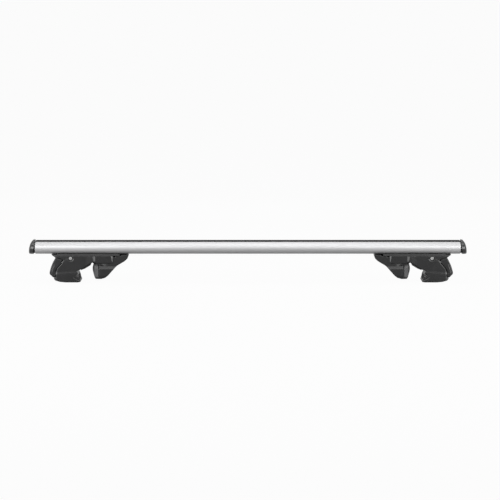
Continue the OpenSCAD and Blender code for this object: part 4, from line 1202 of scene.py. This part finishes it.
# How much white the camera and the gloss see in place of the lit world and floor
WORLD_SEEN, FLOOR_SEEN = (1.0, 0.1), (0.96, 0.13)
LAMPS = (
    # name, place, the point that it faces, size, the sidebar's power
    ("lamp_above", (0.0, 0.35, 2.1), (0, 0, 0.1), (3.2, 1.5), "lamp_above"),
    ("lamp_front", (0.0, -1.5, 1.75), (0, 0, 0.1), (3.0, 1.0), "lamp_front"),
    ("lamp_back", (0.0, 1.9, 0.4), (0, 0, 0.08), (3.0, 0.6), "lamp_back"),
    ("lamp_left", (-1.95, -1.4, 0.68), (-0.4, 0, 0.05), (1.6, 1.3), "lamp_side"),
    ("lamp_right", (1.95, -1.4, 0.68), (0.4, 0, 0.05), (1.6, 1.3), "lamp_side"),
)


def make_stage():
    """The floor, the lamps, the world and the camera at the photograph's angle."""
    look = bpy.context.scene.crossbar_stage
    bpy.context.scene.view_settings.view_transform = "Standard"
    make_world(look)
    make_floor(look)
    for name, place, aim, size, power in LAMPS:
        add_lamp(name, place, aim, size, getattr(look, power))
    make_camera(look)


def make_world(look):
    """An even surround that gives a little light and shows white."""
    world = bpy.data.worlds.new("studio")
    bpy.context.scene.world = world
    world.use_nodes = True
    tree = world.node_tree
    background = tree.nodes["Background"]
    background.inputs["Color"].default_value = (*look.surround[:3], 1)
    background.inputs["Strength"].default_value = look.surround_strength
    white = tree.nodes.new("ShaderNodeBackground")
    white.inputs["Color"].default_value = (1, 1, 1, 1)
    show_white(tree, background, white, tree.nodes["World Output"], *WORLD_SEEN)


def make_floor(look):
    """A large plain floor under the feet."""
    mesh = bpy.data.meshes.new("floor")
    r = FLOOR_HALF
    mesh.from_pydata([(-r, -r, 0), (r, -r, 0), (r, r, 0), (-r, r, 0)], [], [(0, 1, 2, 3)])
    floor = bpy.data.objects.new("floor", mesh)
    bpy.context.scene.collection.objects.link(floor)
    mesh.materials.append(floor_finish(look))


def make_camera(look):
    """The camera, as far from the bar as its lens needs for the frame's width."""
    camera = bpy.data.cameras.new("camera")
    camera.lens = look.lens
    camera.sensor_width = 36.0
    camera.clip_end = 200.0
    distance = look.frame_width * camera.lens / camera.sensor_width
    back = Vector((0.0, -math.cos(look.elevation), math.sin(look.elevation)))
    target = Vector((look.aim_x, 0.0, look.aim_z))
    bpy.context.scene.camera = placed("camera", camera, target + back * distance, -back)


def placed(name, data, place, towards):
    """A lamp or camera at a place, turned towards a direction."""
    holder = bpy.data.objects.new(name, data)
    bpy.context.scene.collection.objects.link(holder)
    holder.location = place
    holder.rotation_mode = "QUATERNION"
    holder.rotation_quaternion = towards.to_track_quat("-Z", "Y")
    return holder


def seen_share(tree, by_camera, by_gloss):
    """How much white the camera and the glossy and clear surfaces see in place of the lit background."""
    rays = tree.nodes.new("ShaderNodeLightPath")
    kinds = (("Is Camera Ray", by_camera), ("Is Glossy Ray", by_gloss), ("Is Transmission Ray", by_camera))
    total = None
    for output, value in kinds:
        part = tree.nodes.new("ShaderNodeMath")
        part.operation = "MULTIPLY"
        part.inputs[1].default_value = value
        tree.links.new(rays.outputs[output], part.inputs[0])
        if total is None:
            total = part.outputs[0]
            continue
        most = tree.nodes.new("ShaderNodeMath")
        most.operation = "MAXIMUM"
        tree.links.new(total, most.inputs[0])
        tree.links.new(part.outputs[0], most.inputs[1])
        total = most.outputs[0]
    return total


def show_white(tree, lit, white, output, by_camera, by_gloss):
    """Mixes a lit shader with a white one by what looks at it."""
    mix = tree.nodes.new("ShaderNodeMixShader")
    tree.links.new(seen_share(tree, by_camera, by_gloss), mix.inputs[0])
    tree.links.new(lit.outputs[0], mix.inputs[1])
    tree.links.new(white.outputs[0], mix.inputs[2])
    tree.links.new(mix.outputs[0], output.inputs["Surface"])


def floor_finish(look):
    """A pale floor that shows nearly white to the camera and keeps the object's soft shadow."""
    material, shader = principled("pale floor")
    tree = material.node_tree
    shader.inputs["Base Color"].default_value = (*look.floor[:3], 1)
    shader.inputs["Roughness"].default_value = 0.9
    glow = tree.nodes.new("ShaderNodeEmission")
    glow.inputs["Strength"].default_value = 1.0
    show_white(tree, shader, glow, tree.nodes["Material Output"], *FLOOR_SEEN)
    return material


def add_lamp(name, place, aim, size, power):
    """A soft rectangular lamp that faces a point."""
    lamp = bpy.data.lights.new(name, "AREA")
    lamp.shape = "RECTANGLE"
    lamp.size, lamp.size_y = size
    lamp.energy = power
    placed(name, lamp, place, Vector(aim) - Vector(place))


# Sidebar values, operators and panel

def colour(name, description, value):
    """A colour value for the sidebar."""
    return bpy.props.FloatVectorProperty(
        name=name, description=description, subtype="COLOR", size=3, min=0, max=1, default=value)


def number(name, description, value, low, high, **more):
    """A number for the sidebar."""
    return bpy.props.FloatProperty(
        name=name, description=description, default=value, min=low, max=high, **more)


class CROSSBAR_PG_look(bpy.types.PropertyGroup):
    """Colours and gloss of the crossbar's finishes."""

    aluminium: colour("Aluminium", "Colour of the anodised bar", (0.50, 0.50, 0.505))
    aluminium_roughness: number(
        "Bar roughness", "How matt the anodised bar is", 0.63, 0.05, 1.0, subtype="FACTOR")
    rubber: colour("Rubber", "Colour of the strip and the pads", (0.008, 0.008, 0.0083))
    cap_plastic: colour("Cap plastic", "Colour of the end caps", (0.018, 0.018, 0.0185))
    foot_plastic: colour("Foot plastic", "Colour of the feet's mouldings", (0.009, 0.009, 0.0094))
    foot_roughness: number(
        "Foot roughness", "How matt the feet's mouldings are", 0.34, 0.05, 1.0, subtype="FACTOR")
    nose_plastic: colour("Nose rubber", "Colour of the jaws' textured noses", (0.05, 0.05, 0.051))
    steel: colour("Steel", "Colour of the zinc plated fasteners", (0.62, 0.62, 0.60))
    lock_metal: colour("Lock", "Colour of the nickel plated lock face", (0.7, 0.7, 0.695))


class CROSSBAR_PG_stage(bpy.types.PropertyGroup):
    """Light, floor and camera."""

    lamp_above: number("Lamp above", "Power of the large lamp above", 44.0, 0.0, 1000.0, unit="POWER")
    lamp_front: number(
        "Lamp in front", "Power of the long lamp above the camera", 22.0, 0.0, 1000.0, unit="POWER")
    lamp_side: number("Side lamps", "Power of each lamp beside the bar", 44.0, 0.0, 1000.0, unit="POWER")
    lamp_back: number("Lamp behind", "Power of the long lamp behind the bar", 5.0, 0.0, 1000.0, unit="POWER")
    surround: colour("Surround", "Colour of the light from all round", (1.0, 1.0, 1.0))
    surround_strength: number("Surround strength", "Strength of the light from all round", 0.35, 0.0, 5.0)
    floor: colour("Floor", "Colour of the floor", (0.27, 0.27, 0.27))
    lens: number("Lens", "Focal length of the camera in millimetres", 150.0, 20.0, 300.0)
    frame_width: number("Frame width", "Width of the view at the bar", 1.371, 0.2, 5.0, unit="LENGTH")
    elevation: number(
        "Elevation", "Angle of the camera above the horizon", math.radians(8.0), 0.0, 1.5, subtype="ANGLE")
    aim_x: number(
        "Aim along", "Place along the bar that the camera looks at", 0.006, -1.0, 1.0, unit="LENGTH")
    aim_z: number("Aim height", "Height that the camera looks at", 0.0856, -1.0, 1.0, unit="LENGTH")


class CrossbarOperator:
    """What the operators share."""

    bl_options = {"REGISTER", "UNDO"}


class CROSSBAR_OT_bar(CrossbarOperator, bpy.types.Operator):
    """Make the aluminium bar, its rubber strip and the two end caps"""

    bl_idname = "crossbar.bar"
    bl_label = "Bar, strip and caps"

    def execute(self, context):
        make_bar()
        make_strip()
        for side in SIDES:
            make_cap(side)
        return {"FINISHED"}


class CROSSBAR_OT_feet(CrossbarOperator, bpy.types.Operator):
    """Make the mouldings of both feet"""

    bl_idname = "crossbar.feet"
    bl_label = "Feet"

    def execute(self, context):
        for side in SIDES:
            for part in FOOT_PARTS:
                make_foot_part(side, part)
        return {"FINISHED"}


class CROSSBAR_OT_fittings(CrossbarOperator, bpy.types.Operator):
    """Finish the saddles, pads, locks and fasteners of both feet"""

    bl_idname = "crossbar.fittings"
    bl_label = "Fittings"

    def execute(self, context):
        for side in SIDES:
            for node, look, slot, bevel in COPIED:
                copy_node(f"{side}_{node}", finish(look), bevel)
        return {"FINISHED"}


class CROSSBAR_OT_stage(CrossbarOperator, bpy.types.Operator):
    """Set up the floor, the lamps and the camera"""

    bl_idname = "crossbar.stage"
    bl_label = "Stage"

    def execute(self, context):
        make_stage()
        return {"FINISHED"}


class CROSSBAR_PT_panel(bpy.types.Panel):
    """Values and operators of the crossbar"""

    bl_idname = "CROSSBAR_PT_panel"
    bl_label = "Crossbar"
    bl_space_type = "VIEW_3D"
    bl_region_type = "UI"
    bl_category = "Crossbar"

    def draw(self, context):
        for group in (context.scene.crossbar_look, context.scene.crossbar_stage):
            box = self.layout.box()
            for key in group.bl_rna.properties.keys():
                if key not in ("rna_type", "name"):
                    box.prop(group, key)
        for operator in OPERATORS:
            self.layout.operator(operator.bl_idname)


OPERATORS = (CROSSBAR_OT_stage, CROSSBAR_OT_bar, CROSSBAR_OT_feet, CROSSBAR_OT_fittings)
CLASSES = (CROSSBAR_PG_look, CROSSBAR_PG_stage, *OPERATORS, CROSSBAR_PT_panel)


def register():
    """Adds the values, the operators and the panel."""
    for c in CLASSES:
        bpy.utils.register_class(c)
    bpy.types.Scene.crossbar_look = bpy.props.PointerProperty(type=CROSSBAR_PG_look)
    bpy.types.Scene.crossbar_stage = bpy.props.PointerProperty(type=CROSSBAR_PG_stage)


def unregister():
    """Takes them away again."""
    del bpy.types.Scene.crossbar_look
    del bpy.types.Scene.crossbar_stage
    for c in reversed(CLASSES):
        bpy.utils.unregister_class(c)


def main():
    """Builds the scene."""
    register()
    bpy.ops.crossbar.stage()
    bpy.ops.crossbar.bar()
    bpy.ops.crossbar.feet()
    bpy.ops.crossbar.fittings()


if __name__ == "__main__":
    main()
